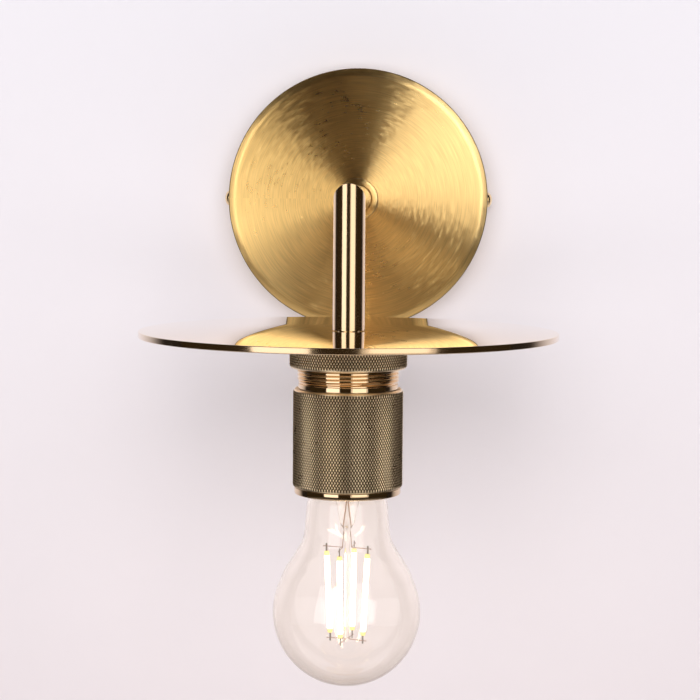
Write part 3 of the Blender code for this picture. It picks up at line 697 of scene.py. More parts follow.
# ---- Shade ring ---------------------------------------------------------------------------------------
# A knurled brass ring that screws up its thread against the disc. Two crossed rollers pressed the diamond
# pattern into it before its ends were chamfered.

knurl_width = 0.00121
knurl_height = 0.00204
knurl_depth = 0.00033
ring_low, ring_high, ring_radius = round_box("knurled_ring")
ring_bore = 0.02105
ring_chamfer = 0.0005


def sheet_place(tree):
    """How far across and how far up a flat sheet each of its points lies, from 0 to 1."""
    place = step(tree, "ShaderNodeSeparateXYZ", tree.nodes.new("GeometryNodeInputPosition").outputs[0])
    return [Number(tree, place.outputs[axis]) + 0.5 for axis in (0, 1)]


def rolled_on(tree, given, sheet, across, radius, height):
    """Rolls a sheet round the lamp's axis and joins it to the turned body, which ends the tree."""
    angle = across * (2 * math.pi)
    out, side = radius * angle.math("COSINE"), radius.math("MULTIPLY_ADD", angle.math("SINE"), given.Centre)
    point = step(tree, "ShaderNodeCombineXYZ", out, side, height).outputs[0]
    band = step(tree, "GeometryNodeSetPosition", Geometry=sheet, Position=point).outputs[0]
    joined = step(tree, "GeometryNodeJoinGeometry", band)
    plug(tree, joined, given.Geometry)
    closing(tree, joined.outputs[0], given.Material, merge=0.00002)


def knurl():
    """A band of raised diamonds: each is a four-sided point between two crossing sets of valleys."""
    sizes = dict.fromkeys(("Radius", "Depth", "Top", "Bottom", "Centre"), "Float")
    tree, given = node_tree("knurl", **sizes, Around="Int", Rows="Int", Material="Material")
    columns, rows = given.Around * 2, given.Rows * 2
    sheet = step(tree, "GeometryNodeMeshGrid", Vertices_X=columns + 1, Vertices_Y=rows + 1).outputs[0]
    across, up = sheet_place(tree)
    cell = (across * columns).math("FLOOR") + (up * rows).math("FLOOR")
    odd_cell = cell.math("FLOORED_MODULO", 2)
    for chosen, way in ((1 - odd_cell, "FIXED_ALTERNATE"), (odd_cell, "FIXED")):
        cut = step(tree, "GeometryNodeTriangulate", Mesh=sheet, Selection=chosen, quad_method=way)
        sheet = cut.outputs[0]
    column, row = (across * columns).math("ROUND"), (up * rows).math("ROUND")
    valley = (column + row).math("FLOORED_MODULO", 2)
    inside = row.math("GREATER_THAN", 0.5) * row.math("LESS_THAN", rows - 0.5)
    raised = (1 - valley) * inside
    radius = given.Depth.math("MULTIPLY_ADD", raised, given.Radius - given.Depth)
    height = up.math("MULTIPLY_ADD", given.Top - given.Bottom, given.Bottom)
    marked = step(tree, "GeometryNodeStoreNamedAttribute", Geometry=sheet, Name="hollow", Value=1 - raised)
    rolled_on(tree, given, marked.outputs[0], across, radius, height)
    return tree


def knurled(name, outline, radius, top, bottom, material):
    """A turned body, open along its knurled band, with the band grown on it."""
    around = round(2 * math.pi * radius / knurl_width)
    rows = round((top - bottom) / knurl_height)
    body = lathe(name, outline, lamp_axis, material, steps=2 * around, closed=False)
    sizes = dict(Radius=radius, Depth=knurl_depth, Top=top, Bottom=bottom, Centre=lamp_y)
    return grown(body, knurl_tree, material, Around=around, Rows=rows, **sizes)


def knurled_brass_and_valley_shade():
    """The same brass with painted shade, almost black, in the valleys between the knurl's points."""
    made, tree, shader = metal("knurled_brass", (1.0, 0.80, 0.52), (1.0, 0.84, 0.62), 0.3)
    patches = noise(tree, own_place(tree), 120.0, 4.0)
    roughness_from(tree, shader, patches, 0.22, 0.37)
    # Painted shade: the knurl's valleys are blended towards near black.
    valley = step(tree, "ShaderNodeAttribute", attribute_name="hollow").outputs["Fac"]
    painted_valley_shade = spread(tree, valley, 0.44, 0.84, interpolation_type="SMOOTHSTEP")
    clean = shader.inputs["Base Color"].links[0].from_socket
    plug(tree, shader, Base_Color=blend(tree, painted_valley_shade, clean, (0.07, 0.036, 0.015, 1)))
    return made


knurl_tree = knurl()
knurled_brass = knurled_brass_and_valley_shade()
ring_valley = ring_radius - knurl_depth
ring_body = [
    (ring_valley, ring_low.z + ring_chamfer),
    (ring_valley - ring_chamfer, ring_low.z),
    (ring_bore, ring_low.z),
    (ring_bore, ring_high.z),
    (ring_valley - ring_chamfer, ring_high.z),
    (ring_valley, ring_high.z - ring_chamfer),
]
ring_band = ring_high.z - ring_chamfer, ring_low.z + ring_chamfer
shade_ring = knurled("shade_ring", ring_body, ring_radius, *ring_band, knurled_brass)
settled(shade_ring, "ring", "aged_brass", "knurled_ring")


# ---- Shade ring washer --------------------------------------------------------------------------------
# A loose brass washer that keeps the ring's knurled face from scratching the disc as it turns.
# It lies between the two and comes down with the ring.

washer_low, washer_high, washer_radius = round_box("ring_washer")
washer = turned("shade_ring_washer", raw_brass, [
    (ring_bore, washer_high.z, 0.0001),
    (washer_radius, washer_high.z, 0.0002),
    (washer_radius, washer_low.z, 0.0002),
    (ring_bore, washer_low.z, 0.0001),
], segments=3, steps=128)
settled(washer, "ring_carriage", "raw_brass", "ring_washer")


# ---- Holder cap ---------------------------------------------------------------------------------------
# The upper half of the lamp holder, turned from brass bar and polished. The shade ring runs on its thread;
# a groove and a plain shoulder come below it. It is hollow, for the terminals.

cap_low, cap_high, cap_thread_crest = round_box("holder_cap")
cap_thread_depth = 0.0006
cap_thread_pitch = 0.0015
cap_thread_bottom = -0.0739
cap_shoulder = 0.02035
cap_groove = 0.0194
cap_bore = 0.0185
cap_roof = 0.0025


def thread():
    """A screw thread: crest and root run up one pitch for each turn and fade out at both ends."""
    sizes = dict.fromkeys(("Root", "Crest", "Top", "Bottom", "Pitch", "Round", "Centre"), "Float")
    tree, given = node_tree("thread", **sizes, Around="Int", Steps="Int", Material="Material")
    turns = ((given.Top - given.Bottom) / given.Pitch).math("CEIL") + 2
    rows = turns * given.Steps
    sheet = step(tree, "GeometryNodeMeshGrid", Vertices_X=given.Around + 1, Vertices_Y=rows + 1).outputs[0]
    across, up = sheet_place(tree)
    turn = (up * rows).math("ROUND") / given.Steps
    climb = (turn + across - 1) * given.Pitch
    height = climb + given.Bottom
    kept = height.math("MAXIMUM", given.Bottom).math("MINIMUM", given.Top)
    phase = (turn + 0.0001).math("FRACT")
    sharp_wave = 1 - phase.math("MULTIPLY_ADD", 2, -1).math("ABSOLUTE")
    flat_wave = (sharp_wave * 2.0).math("MINIMUM", 1.0)
    round_wave = (phase * (2 * math.pi)).math("COSINE").math("MULTIPLY_ADD", -0.5, 0.5)
    wave = (round_wave - flat_wave).math("MULTIPLY_ADD", given.Round, flat_wave)
    reach = climb.math("MINIMUM", given.Top - height)
    fade = (reach / (given.Pitch * 0.6)).math("MAXIMUM", 0).math("MINIMUM", 1)
    radius = (wave * fade).math("MULTIPLY_ADD", given.Crest - given.Root, given.Root)
    rolled_on(tree, given, sheet, across, radius, kept)
    return tree


def threaded(piece, material, root, crest, top, bottom, pitch, around, steps, roundness, sharp=30):
    """Grows a thread on a piece; roundness 0 gives flat crests and 1 a rolled wave."""
    sizes = dict(Root=root, Crest=crest, Top=top, Bottom=bottom, Pitch=pitch, Round=roundness)
    counts = dict(Around=around, Steps=steps)
    return grown(piece, thread_tree, material, sharp=sharp, Centre=lamp_y, **sizes, **counts)


thread_tree = thread()
holder_brass = polished("holder_brass", (0.88, 0.66, 0.42), (0.87, 0.69, 0.51), 0.02, 0.09, (60, 60, 900))
cap_root = cap_thread_crest - cap_thread_depth
cap = turned("holder_upper_cap", holder_brass, [
    (cap_root, cap_thread_bottom, 0),
    (cap_groove, cap_thread_bottom - 0.0001, 0),
    (cap_groove, cap_thread_bottom - 0.0005, 0.0001),
    (cap_shoulder, cap_thread_bottom - 0.0005, 0.0002),
    (cap_shoulder, cap_low.z, 0),
    (cap_bore, cap_low.z, 0),
    (cap_bore, cap_high.z - cap_roof, 0),
    (arm_hole, cap_high.z - cap_roof, 0),
    (arm_hole, cap_high.z, 0),
    (cap_root, cap_high.z, 0),
], segments=3, steps=192, closed=False)
thread_ends = cap_high.z, cap_thread_bottom
threaded(cap, holder_brass, cap_root, cap_thread_crest, *thread_ends, cap_thread_pitch, 192, 6, 0.0)
settled(cap, "fixture", "polished_brass", "holder_cap")


# ---- Holder sleeve ------------------------------------------------------------------------------------
# The knurled body of the lamp holder. Its spigot screws up inside the cap, a chamfer leads into the
# knurling, and the porcelain insert sits in its bore.

sleeve_radius = (sleeve_high.x - sleeve_low.x) / 2
sleeve_top = cap_low.z - 0.0003
sleeve_chamfer = 0.0009
sleeve_valley = sleeve_radius - knurl_depth
spigot_radius = cap_bore - 0.0003
spigot_bore = 0.0166
sleeve_bore = 0.0198
sleeve_floor = -0.080
sleeve_body = [
    (sleeve_valley, sleeve_low.z + 0.0002),
    (sleeve_valley - 0.0002, sleeve_low.z),
    (sleeve_bore, sleeve_low.z),
    (sleeve_bore, sleeve_floor),
    (spigot_bore, sleeve_floor),
    (spigot_bore, sleeve_high.z),
    (spigot_radius, sleeve_high.z),
    (spigot_radius, sleeve_top),
    (sleeve_radius - sleeve_chamfer, sleeve_top),
    (sleeve_valley, sleeve_top - sleeve_chamfer + knurl_depth),
]
sleeve_band = sleeve_top - sleeve_chamfer + knurl_depth, sleeve_low.z + 0.0002
sleeve = knurled("holder_knurled_sleeve", sleeve_body, sleeve_radius, *sleeve_band, knurled_brass)
settled(sleeve, "fixture", "aged_brass", "holder_sleeve")


# ---- Holder lip ---------------------------------------------------------------------------------------
# A polished end ring, screwed up inside the sleeve, that holds the insert and hides the top of the bulb.
# It is turned from brass and left without knurling.

lip_low, lip_high, lip_radius = round_box("lip_ring")
lip_bore = 0.0174
lip_spigot = 0.0195
lip_shoulder = sleeve_low.z - 0.0003
lip = turned("holder_lip", holder_brass, [
    (lip_bore, lip_high.z, 0),
    (lip_spigot, lip_high.z, 0),
    (lip_spigot, lip_shoulder, 0),
    (lip_radius, lip_shoulder, 0.0001),
    (lip_radius, lip_low.z, 0.0005),
    (lip_bore, lip_low.z, 0.0004),
], segments=4, steps=192)
settled(lip, "fixture", "polished_brass", "lip_ring")


# ---- Porcelain insert ---------------------------------------------------------------------------------
# The glazed insulator inside the sleeve. It carries the screw shell, and a riveted spring strip in its
# middle feeds the bulb. It only shows from below, with the bulb out.


def refined(name, node, material, edge=0.0, body="fixture", slot="raw_brass", smooth=40, keep=1):
    """A solid's own shape as one clean mesh: welded, flat faces joined up, edges broken, shaded smooth."""
    shape = bmesh.new()
    shape.from_mesh(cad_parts[node].data)
    bmesh.ops.remove_doubles(shape, verts=shape.verts, dist=0.000004)
    bmesh.ops.dissolve_limit(
        shape, angle_limit=math.radians(keep), verts=shape.verts, edges=shape.edges, delimit={"NORMAL"}
    )
    made = added_shape(name, shape, material)
    if edge:
        broken = made.modifiers.new("broken_edges", "BEVEL")
        broken.width = edge
        broken.segments = 2
        broken.limit_method = "ANGLE"
        broken.angle_limit = math.radians(50)
        applied(made)
    made.data.shade_smooth()
    made.data.set_sharp_from_angle(angle=math.radians(smooth))
    if edge:
        made.modifiers.new("flat_faces_stay_flat", "WEIGHTED_NORMAL").keep_sharp = True
        applied(made)
    return settled(made, body, slot, node)


def speckled(name, colour, other, roughness, scale, metallic=0.0, bump=0.02, coat=0.0):
    """A plain finish with a fine mottle in its colour, its roughness and its surface."""
    made, tree, shader = principled(name, Metallic=metallic, Coat_Weight=coat)
    grain = noise(tree, own_place(tree), scale, 5.0)
    raised = step(tree, "ShaderNodeBump", Strength=bump, Distance=0.0002, Height=grain)
    plug(tree, shader, Base_Color=blend(tree, grain, (*colour, 1), (*other, 1)), Normal=raised.outputs[0])
    roughness_from(tree, shader, grain, roughness * 0.75, roughness * 1.3)
    return made


glazed_porcelain = speckled("glazed_porcelain", (0.90, 0.88, 0.84), (0.84, 0.82, 0.77), 0.18, 60, coat=0.4)
nickel_plate = speckled("nickel_plate", (0.78, 0.76, 0.72), (0.68, 0.66, 0.62), 0.22, 300, metallic=1.0)
insert_low, insert_high, insert_radius = round_box("ceramic_insert")
insert_bore = 0.0146
insert_web = insert_high.z - 0.006
rivet_hole = 0.0018
insert = turned("porcelain_insert", glazed_porcelain, [
    (rivet_hole, insert_high.z, 0.0002),
    (insert_radius, insert_high.z, 0.0006),
    (insert_radius, insert_low.z, 0.0006),
    (insert_bore, insert_low.z, 0.0008),
    (insert_bore, insert_web, 0.001),
    (rivet_hole, insert_web, 0.0002),
], segments=4, steps=128)
settled(insert, "fixture", "porcelain", "ceramic_insert")
refined("spring_contact", "centre_contact", nickel_plate, 0.0001, slot="nickel")
refined("spring_contact_rivet", "contact_rivet", nickel_plate, slot="nickel")


# ---- Screw shell --------------------------------------------------------------------------------------
# A thin brass shell inside the insert, with a lamp thread rolled into it that the bulb's cap screws up.
# It is pressed from sheet, so the thread shows on both of its faces.

shell_low, shell_high, shell_crest = round_box("screw_shell")
shell_wall = 0.00045
shell_clear = 0.0137
lamp_pitch = 0.003629


def threaded_skin(name, root, crest, inwards):
    """One face of the shell's rolled thread, from its top to its bottom edge."""
    blank = added(name, bpy.data.meshes.new(name), raw_brass)
    threaded(blank, raw_brass, root, crest, shell_high.z, shell_low.z, lamp_pitch, 96, 10, 1.0, sharp=60)
    if inwards:
        blank.data.flip_normals()
    return blank


def one_mesh(name, pieces, material):
    """Joins two skins into one welded piece, bridged along their open edges."""
    shape = bmesh.new()
    for piece in pieces:
        shape.from_mesh(piece.data)
        bpy.data.objects.remove(piece)
    bmesh.ops.remove_doubles(shape, verts=shape.verts, dist=0.00002)
    loose = [edge for edge in shape.edges if len(edge.link_faces) == 1]
    bmesh.ops.bridge_loops(shape, edges=loose)
    bmesh.ops.recalc_face_normals(shape, faces=shape.faces)
    return added_shape(name, shape, material, sharp=60)


shell_outer = threaded_skin("shell_outer", shell_clear + shell_wall, shell_crest, False)
shell_inner = threaded_skin("shell_inner", shell_clear, shell_crest - shell_wall, True)
screw_shell = one_mesh("rolled_screw_shell", [shell_outer, shell_inner], raw_brass)
settled(screw_shell, "fixture", "raw_brass", "screw_shell")


# ---- Bulb cap -----------------------------------------------------------------------------------------
# The bulb's nickel-plated screw cap, rolled from thin sheet. Its flared skirt is glued to the neck of the
# glass, and black glass holds a soldered contact in its top end.

cap_shell_low, cap_shell_high, skirt_radius = round_box("bulb_cap_shell")
lamp_thread_crest = 0.0131
lamp_thread_root = 0.01225
lamp_thread_top = cap_shell_high.z - 0.0024
lamp_thread_bottom = cap_shell_low.z + 0.0041
sheet = 0.0004
cap_inside = lamp_thread_root - sheet
bulb_cap = turned("bulb_screw_cap", nickel_plate, [
    (lamp_thread_root, lamp_thread_bottom, 0),
    (skirt_radius, cap_shell_low.z + 0.002, 0.0006),
    (skirt_radius, cap_shell_low.z, 0.0001),
    (skirt_radius - sheet, cap_shell_low.z, 0.0001),
    (skirt_radius - sheet, cap_shell_low.z + 0.002, 0.0004),
    (cap_inside, lamp_thread_bottom - 0.0002, 0),
    (cap_inside, cap_shell_high.z - 0.0012, 0.0004),
    (0.0107, cap_shell_high.z - sheet, 0.0003),
    (0.0107, cap_shell_high.z, 0.0001),
    (lamp_thread_root, lamp_thread_top, 0.0012),
    (lamp_thread_root, lamp_thread_top - 0.00001, 0),
], segments=4, steps=96, closed=False)
cap_thread = lamp_thread_root, lamp_thread_crest, lamp_thread_top, lamp_thread_bottom, lamp_pitch
threaded(bulb_cap, nickel_plate, *cap_thread, 96, 12, 1.0, sharp=60)
settled(bulb_cap, "bulb", "nickel", "bulb_cap_shell")

black_cap_glass = speckled("black_cap_glass", (0.02, 0.02, 0.025), (0.045, 0.045, 0.05), 0.16, 200)
insulator_low, insulator_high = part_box("bulb_insulator")
insulator = turned("bulb_cap_insulator", black_cap_glass, [
    (0.0, insulator_high.z, 0),
    (0.0054, insulator_high.z, 0.0008),
    (0.0104, insulator_high.z - 0.0034, 0.0008),
    (0.0104, insulator_low.z, 0.0002),
    (0.0, insulator_low.z, 0),
], segments=4, steps=64, closed=False)
settled(insulator, "bulb", "black_glass", "bulb_insulator")

solder = speckled("solder", (0.66, 0.65, 0.62), (0.52, 0.51, 0.49), 0.35, 500, metallic=1.0, bump=0.2)
button_low, button_high, button_radius = round_box("bulb_contact")
button = turned("bulb_solder_contact", solder, [
    (0.0, button_high.z, 0),
    (0.0015, button_high.z, 0.0004),
    (0.0034, button_high.z - 0.0004, 0.0006),
    (button_radius, button_high.z - 0.0006, 0.0002),
    (button_radius, button_low.z, 0.0001),
    (0.0, button_low.z, 0),
], segments=3, steps=48, closed=False)
settled(button, "bulb_carriage", "nickel", "bulb_contact")


# ---- Bulb driver --------------------------------------------------------------------------------------
# A round circuit board glued into the cap, with one capacitor standing under it, feeds the filaments.
# Both are out of sight inside the metal of the cap.

green_lacquer = speckled("green_lacquer", (0.10, 0.28, 0.16), (0.07, 0.20, 0.12), 0.4, 400)
refined("driver_circuit_board", "driver_board", green_lacquer, 0.0001, "bulb", "circuit_board")
refined("driver_can", "driver_capacitor", black_cap_glass, 0.0003, "bulb", "black_glass")


# ---- Bulb glass ---------------------------------------------------------------------------------------
# The clear blown envelope: a narrow neck in the cap, a throat and a round globe, one thin wall throughout.
# Its neck is cemented into the metal of the cap.

glass_low, _, globe_radius = round_box("bulb_glass")
globe_centre = glass_low.z + globe_radius
glass_wall = 0.0007
neck = [(0.0123, -0.1135), (0.0123, -0.1189), (0.0146, -0.1202), (0.0162, -0.1224), (0.0170, -0.1295)]
neck += [(0.0174, -0.1350), (0.0184, -0.1393), (0.0205, -0.1432), (0.0231, -0.1474), (0.0257, -0.1516)]
globe_top = 25


def smooth_line(points, per_span):
    """A Catmull-Rom curve through points of any dimension."""
    points = [Vector(point) for point in points]
    ends = [points[0] * 2 - points[1], *points, points[-1] * 2 - points[-2]]
    line = []
    for a, b, c, d in zip(ends, ends[1:], ends[2:], ends[3:]):
        for i in range(per_span):
            t = i / per_span
            bend = (2 * a - 5 * b + 4 * c - d) * t * t + (3 * b - a - 3 * c + d) * t**3
            line.append(b + ((c - a) * t + bend) / 2)
    return line + [points[-1]]


def glass_face(inset):
    """The outline of one face of the glass, moved inwards by inset."""
    globe = [math.radians(globe_top - (90 + globe_top) * i / 30) for i in range(31)]
    arc = [(globe_radius * math.cos(t), globe_centre + globe_radius * math.sin(t)) for t in globe]
    line = smooth_line([*neck, arc[0]], 4)[:-1] + [Vector(point) for point in arc]
    moved = []
    for before, here, after in zip([line[0], *line], line, [*line[1:], line[-1]]):
        along = (after - before).normalized()
        moved.append((here.x + along.y * inset, here.y - along.x * inset))
    moved[-1] = (0.0, glass_low.z + inset)
    moved[0] = (moved[0][0], neck[0][1])
    return moved


def clear_glass(name, tint, glow):
    """Clear glass with slow waves in its face and a faint warm painted glow, in place of the rods' light
    scattered in it.
    """
    # Painted glow: a weak warm emission in the glass and the stem.
    finish = dict(Roughness=0.0, IOR=1.46, Transmission_Weight=1.0, Emission_Strength=0.045)
    made, tree, shader = principled(name, Base_Color=(*tint, 1), Emission_Color=(*glow, 1), **finish)
    waves = noise(tree, own_place(tree), 55.0, 1.0)
    bump = step(tree, "ShaderNodeBump", Strength=0.03, Distance=0.0004, Height=waves)
    plug(tree, shader, Normal=bump.outputs[0])
    return made


bulb_glass = clear_glass("blown_glass", (0.985, 0.985, 0.98), (1.0, 0.70, 0.42))
envelope = lathe(
    "bulb_envelope",
    [*reversed(glass_face(glass_wall)), *glass_face(0.0)],
    lamp_axis,
    bulb_glass,
    steps=160,
    closed=False,
    sharp=70,
)
envelope.visible_shadow = False
settled(envelope, "bulb", "clear_glass", "bulb_glass")


# ---- Bulb stem ----------------------------------------------------------------------------------------
# A flared glass tube, pinched flat where the leads pass through it, with a long thin post below. Its flare
# is melted to the neck of the envelope.

stem_low, stem_high, stem_flare = round_box("bulb_stem")
stem_line = [(stem_flare, stem_high.z), (0.0102, -0.1160), (0.0070, -0.1176), (0.0052, -0.1192)]
stem_line += [(0.0045, -0.1240), (0.0036, -0.1285), (0.0030, -0.1318), (0.0016, -0.1345), (0.0012, -0.1380)]
stem_line += [(0.0011, -0.1500), (0.0011, -0.1700), (0.0011, stem_low.z + 0.0006)]
stem_outline = [(0.0, stem_high.z), *[tuple(p) for p in smooth_line(stem_line, 4)]]
stem_outline += [(0.0008, stem_low.z + 0.0001), (0.0, stem_low.z)]
stem = lathe("bulb_glass_stem", stem_outline, lamp_axis, bulb_glass, steps=48, closed=False, sharp=50)
stem.visible_shadow = False
settled(stem, "bulb", "clear_glass", "bulb_stem")


# ---- Filaments ----------------------------------------------------------------------------------------
# Four straight rods of light-emitting chips under a phosphor skin, round the post and a little closer
# together at the bottom. The yellow of the skin shows only at the ends, which have no chips.

filament_count = 4
filament_angle = -18
filament_radius = 0.00105
filament_top = (0.0089, -0.1443)
filament_bottom = (0.0072, -0.1783)
filament_dark_end = 0.0021


def lit_phosphor():
    """A phosphor skin that glows along the rod and stays dull yellow at its ends."""
    yellow, glow = (1.0, 0.80, 0.25, 1), (1.0, 0.84, 0.60, 1)
    made, tree, shader = principled("lit_phosphor", Base_Color=yellow, Roughness=0.5, Emission_Color=glow)
    place = own_place(tree)
    height = step(tree, "ShaderNodeSeparateXYZ", place).outputs["Z"]
    middle = (filament_top[1] + filament_bottom[1]) / 2
    lit_half = (filament_top[1] - filament_bottom[1]) / 2 - filament_dark_end
    distance = calc(tree, "ABSOLUTE", calc(tree, "SUBTRACT", height, middle))
    lit = spread(tree, distance, lit_half, lit_half + 0.0005, filament_glow, filament_end_glow)
    plug(tree, shader, Emission_Strength=lit)
    return made


filament_glow = 7.0
filament_end_glow = 0.12
phosphor = lit_phosphor()
spun = dict(Count=filament_count, Axis=(0.0, 0.0, 1.0), Centre=(0.0, lamp_y, 0.0))
spun["Start"] = math.radians(filament_angle)
rod_foot = Vector((filament_bottom[0], 0, filament_bottom[1]))
rod_head = Vector((filament_top[0], 0, filament_top[1]))
rod_length = (rod_head - rod_foot).length
rod_lean = (rod_head - rod_foot).to_track_quat("Z", "Y").to_matrix().to_4x4()
rod_place = Matrix.Translation(rod_foot) @ rod_lean
filaments = turned("filament_rods", phosphor, [
    (0.0, rod_length, 0),
    (filament_radius, rod_length, 0.0005),
    (filament_radius, 0.0, 0.0005),
    (0.0, 0.0, 0),
], segments=4, place=rod_place, steps=24, closed=False)
grown(filaments, round_copies, phosphor, sharp=60, **spun)
settled(filaments, "bulb", "phosphor", *(f"filament_{i + 1}" for i in range(filament_count)))


# ---- Filament wires -----------------------------------------------------------------------------------
# Thin coppered wires fan out of the stem and carry the rods at both ends, each spot-welded to a flat dark
# strip that sticks out of its rod.


def wire_run(name, routes, radius, material, around=10, per_span=6):
    """Round wires with closed ends along smooth routes, in one mesh."""
    shape = bmesh.new()
    for route in routes:
        line = smooth_line(route, per_span)
        side = Vector((0.31, 0.95, 0.07))
        rings = []
        for before, here, after in zip([line[0], *line], line, [*line[1:], line[-1]]):
            along = (after - before).normalized()
            side = (side - along * side.dot(along)).normalized()
            cross = along.cross(side)
            turns = [2 * math.pi * k / around for k in range(around)]
            spokes = [radius * (side * math.cos(t) + cross * math.sin(t)) for t in turns]
            rings.append([shape.verts.new(here + spoke) for spoke in spokes])
        for first, second in zip(rings, rings[1:]):
            for k in range(around):
                n = (k + 1) % around
                shape.faces.new((first[k], first[n], second[n], second[k]))
        shape.faces.new(list(reversed(rings[0])))
        shape.faces.new(rings[-1])
    return added_shape(name, shape, material, sharp=60)


coppered_wire = speckled("coppered_wire", (0.50, 0.30, 0.22), (0.32, 0.20, 0.16), 0.35, 900, metallic=1.0)
dark_strip = speckled("dark_strip", (0.16, 0.14, 0.13), (0.28, 0.25, 0.23), 0.4, 900, metallic=1.0)
lead_gauge = 0.00017
top_arm = filament_top[1] + 0.0021
foot_arm = filament_bottom[1] - 0.0022
lamp_centre = Vector((0, lamp_y, 0))
leads = []
for i in range(filament_count):
    turn = math.radians(filament_angle + 360 / filament_count * i)
    out = Vector((math.cos(turn), math.sin(turn), 0))
    side = 1 if out.x > 0 else -1
    lead = lamp_centre + Vector((0.0018 * side, 0, top_arm))
    tip = lamp_centre + out * (filament_top[0] + 0.0016) + Vector((0, 0, top_arm))
    near = lead.lerp(tip, 0.08)
    above = [lead + Vector((0, 0, rise)) for rise in (0.0012, 0.0003)]
    leads.append([*above, near, lead.lerp(tip, 0.3), tip])
    hub = lamp_centre + out * 0.0009 + Vector((0, 0, foot_arm + 0.0008))
    foot = lamp_centre + out * (filament_bottom[0] + 0.0015) + Vector((0, 0, foot_arm))
    sags = ((0.12, 0.0005), (0.35, 0.0004))
    leads.append([hub, *(hub.lerp(foot, share) - Vector((0, 0, sag)) for share, sag in sags), foot])
for side in (-1, 1):
    drop = [(0.0002, -0.1190), (0.0003, -0.1235), (0.0007, -0.1285), (0.0013, -0.1345)]
    drop.append((0.0018, top_arm + 0.0011))
    leads.append([lamp_centre + Vector((side * x, 0, z)) for x, z in drop])
lead_wires = wire_run("filament_lead_wires", leads, lead_gauge, coppered_wire)
settled(lead_wires, "bulb", "nickel", *(f"lead_wire_{i + 1}" for i in range(filament_count)))

strip_shape = bmesh.new()
for radius, low, high in (
    (filament_top[0] + 0.0001, filament_top[1] - 0.0006, filament_top[1] + 0.0033),
    (filament_bottom[0] - 0.0001, filament_bottom[1] - 0.0034, filament_bottom[1] + 0.0006),
):
    block(strip_shape, (0.0007, 0.0003, high - low), (radius, 0, (low + high) / 2))
bmesh.ops.bevel(strip_shape, geom=strip_shape.edges, offset=0.00008, segments=1, affect="EDGES")
end_strips = added_shape("filament_end_strips", strip_shape, dark_strip)
grown(end_strips, round_copies, dark_strip, sharp=30, **spun)
settled(end_strips, "bulb", "nickel", *(f"foot_wire_{i + 1}" for i in range(filament_count)))


# ---- Holder hardware ----------------------------------------------------------------------------------
# A hollow threaded nipple comes down from the arm through the disc and the cap, and a toothed washer and
# a hexagon nut clamp them together. Two brass terminals stand on the insert for the wires.

zinc_pale, zinc_dark = (0.66, 0.67, 0.68), (0.52, 0.53, 0.55)
zinc_plate = speckled("zinc_plate", zinc_pale, zinc_dark, 0.34, 160, metallic=1.0, bump=0.06)
refined("lamp_nipple", "lower_nipple", raw_brass, 0.0003)
refined("lamp_lock_washer", "holder_lock_washer", zinc_plate, 0.0001, slot="zinc_steel")
refined("lamp_nut", "holder_nut", raw_brass, 0.0004)
for side in ("live", "neutral"):
    refined(f"{side}_wire_clamp", f"{side}_terminal", raw_brass, 0.0003)
    refined(f"{side}_clamp_screw", f"{side}_terminal_screw", nickel_plate, 0.0001, slot="nickel")


# ---- Wall bracket -------------------------------------------------------------------------------------
# A pressed strap of zinc-plated steel, screwed to the wall through its two slots. Its bent ears take the
# canopy's screws, a tab carries the terminal block, and a screw with an eye takes the earth wire.

for name, node, material, edge, slot in (
    ("pressed_wall_bracket", "wall_bracket", zinc_plate, 0.0004, "zinc_steel"),
    ("earth_eye", "earth_ring_terminal", nickel_plate, 0.0001, "nickel"),
    ("earth_flat_washer", "earth_washer", zinc_plate, 0.0001, "zinc_steel"),
    ("earth_clamp_screw", "earth_screw", zinc_plate, 0.0001, "zinc_steel"),
    ("arm_nipple", "root_nipple", raw_brass, 0.0003, "raw_brass"),
    ("arm_nut", "root_nut", raw_brass, 0.0004, "raw_brass"),
):
    inside_canopy.objects.link(refined(name, node, material, edge, slot=slot))


# ---- Arm lock washer ----------------------------------------------------------------------------------
# A spring-steel washer with teeth round its rim that bites into the back of the canopy under the arm's nut.
# It is stamped flat, and then its teeth are twisted.

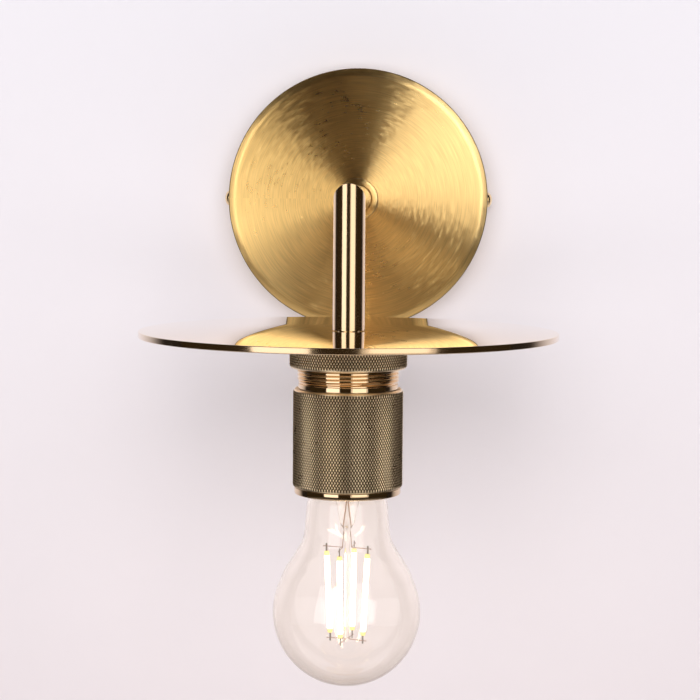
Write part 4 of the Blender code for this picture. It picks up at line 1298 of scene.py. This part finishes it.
tooth_count = 16
lock_low, lock_high, lock_radius = round_box("root_lock_washer")
lock_bore = 0.0048
lock_rim = lock_radius - 0.0022
tooth_shape = bmesh.new()
for corner in block(tooth_shape, (0.0026, 0.0018, 0.0007)):
    if corner.co.x > 0:
        corner.co.y *= 0.6
bmesh.ops.bevel(tooth_shape, geom=tooth_shape.edges, offset=0.0001, segments=1, affect="EDGES")
twisted = Matrix.Rotation(math.radians(9), 4, "X")
tooth_shape.transform(wall_axis @ Matrix.Translation((lock_radius - 0.0014, 0, 0)) @ twisted)
lock_teeth = added_shape("lock_teeth", tooth_shape, zinc_plate)
lock_middle = (0.0, (lock_low.y + lock_high.y) / 2, 0.0)
grown(lock_teeth, round_copies, zinc_plate, Count=tooth_count, Centre=lock_middle, **across_wall)
lock_body = turned("lock_body", zinc_plate, [
    (lock_bore, -lock_low.y - 0.0002, 0.0001),
    (lock_rim, -lock_low.y - 0.0002, 0.0001),
    (lock_rim, -lock_high.y + 0.0002, 0.0001),
    (lock_bore, -lock_high.y + 0.0002, 0.0001),
], segments=2, place=wall_axis, steps=64)
for piece in (lock_teeth, lock_body):
    inside_canopy.objects.link(piece)
    settled(piece, "fixture", "zinc_steel", "root_lock_washer")


# ---- Terminal block -----------------------------------------------------------------------------------
# A moulded nylon block with three poles. Each has a wire hole down through it and a screw in a well.
# One more screw holds the block in place inside the canopy.

nylon = speckled("moulded_nylon", (0.86, 0.85, 0.79), (0.80, 0.79, 0.73), 0.5, 240, bump=0.08)
inside_canopy.objects.link(refined("nylon_terminal_block", "terminal_block", nylon, 0.0005, slot="nylon"))
for name, node, edge in (
    ("block_screw", "block_fixing_screw", 0.0001),
    *((f"block_pole_screw_{number}", f"pole_screw_{number}", 0.0002) for number in (1, 2, 3)),
):
    inside_canopy.objects.link(refined(name, node, zinc_plate, edge, slot="zinc_steel"))


# ---- Wiring -------------------------------------------------------------------------------------------
# Three insulated cores: live and neutral run from the block through the arm to the holder's terminals,
# and the earth goes from the block to the bracket.

for core, slot, colour, shade in (
    ("live_wire", "live_brown", (0.22, 0.10, 0.05), (0.17, 0.075, 0.035)),
    ("neutral_wire", "neutral_blue", (0.05, 0.16, 0.48), (0.04, 0.12, 0.38)),
    ("earth_wire", "earth_green", (0.16, 0.42, 0.08), (0.12, 0.34, 0.06)),
):
    sheath = speckled(slot + "_sheath", colour, shade, 0.42, 350, bump=0.05)
    inside_canopy.objects.link(refined(core + "_core", core, sheath, slot=slot, smooth=70, keep=0.1))
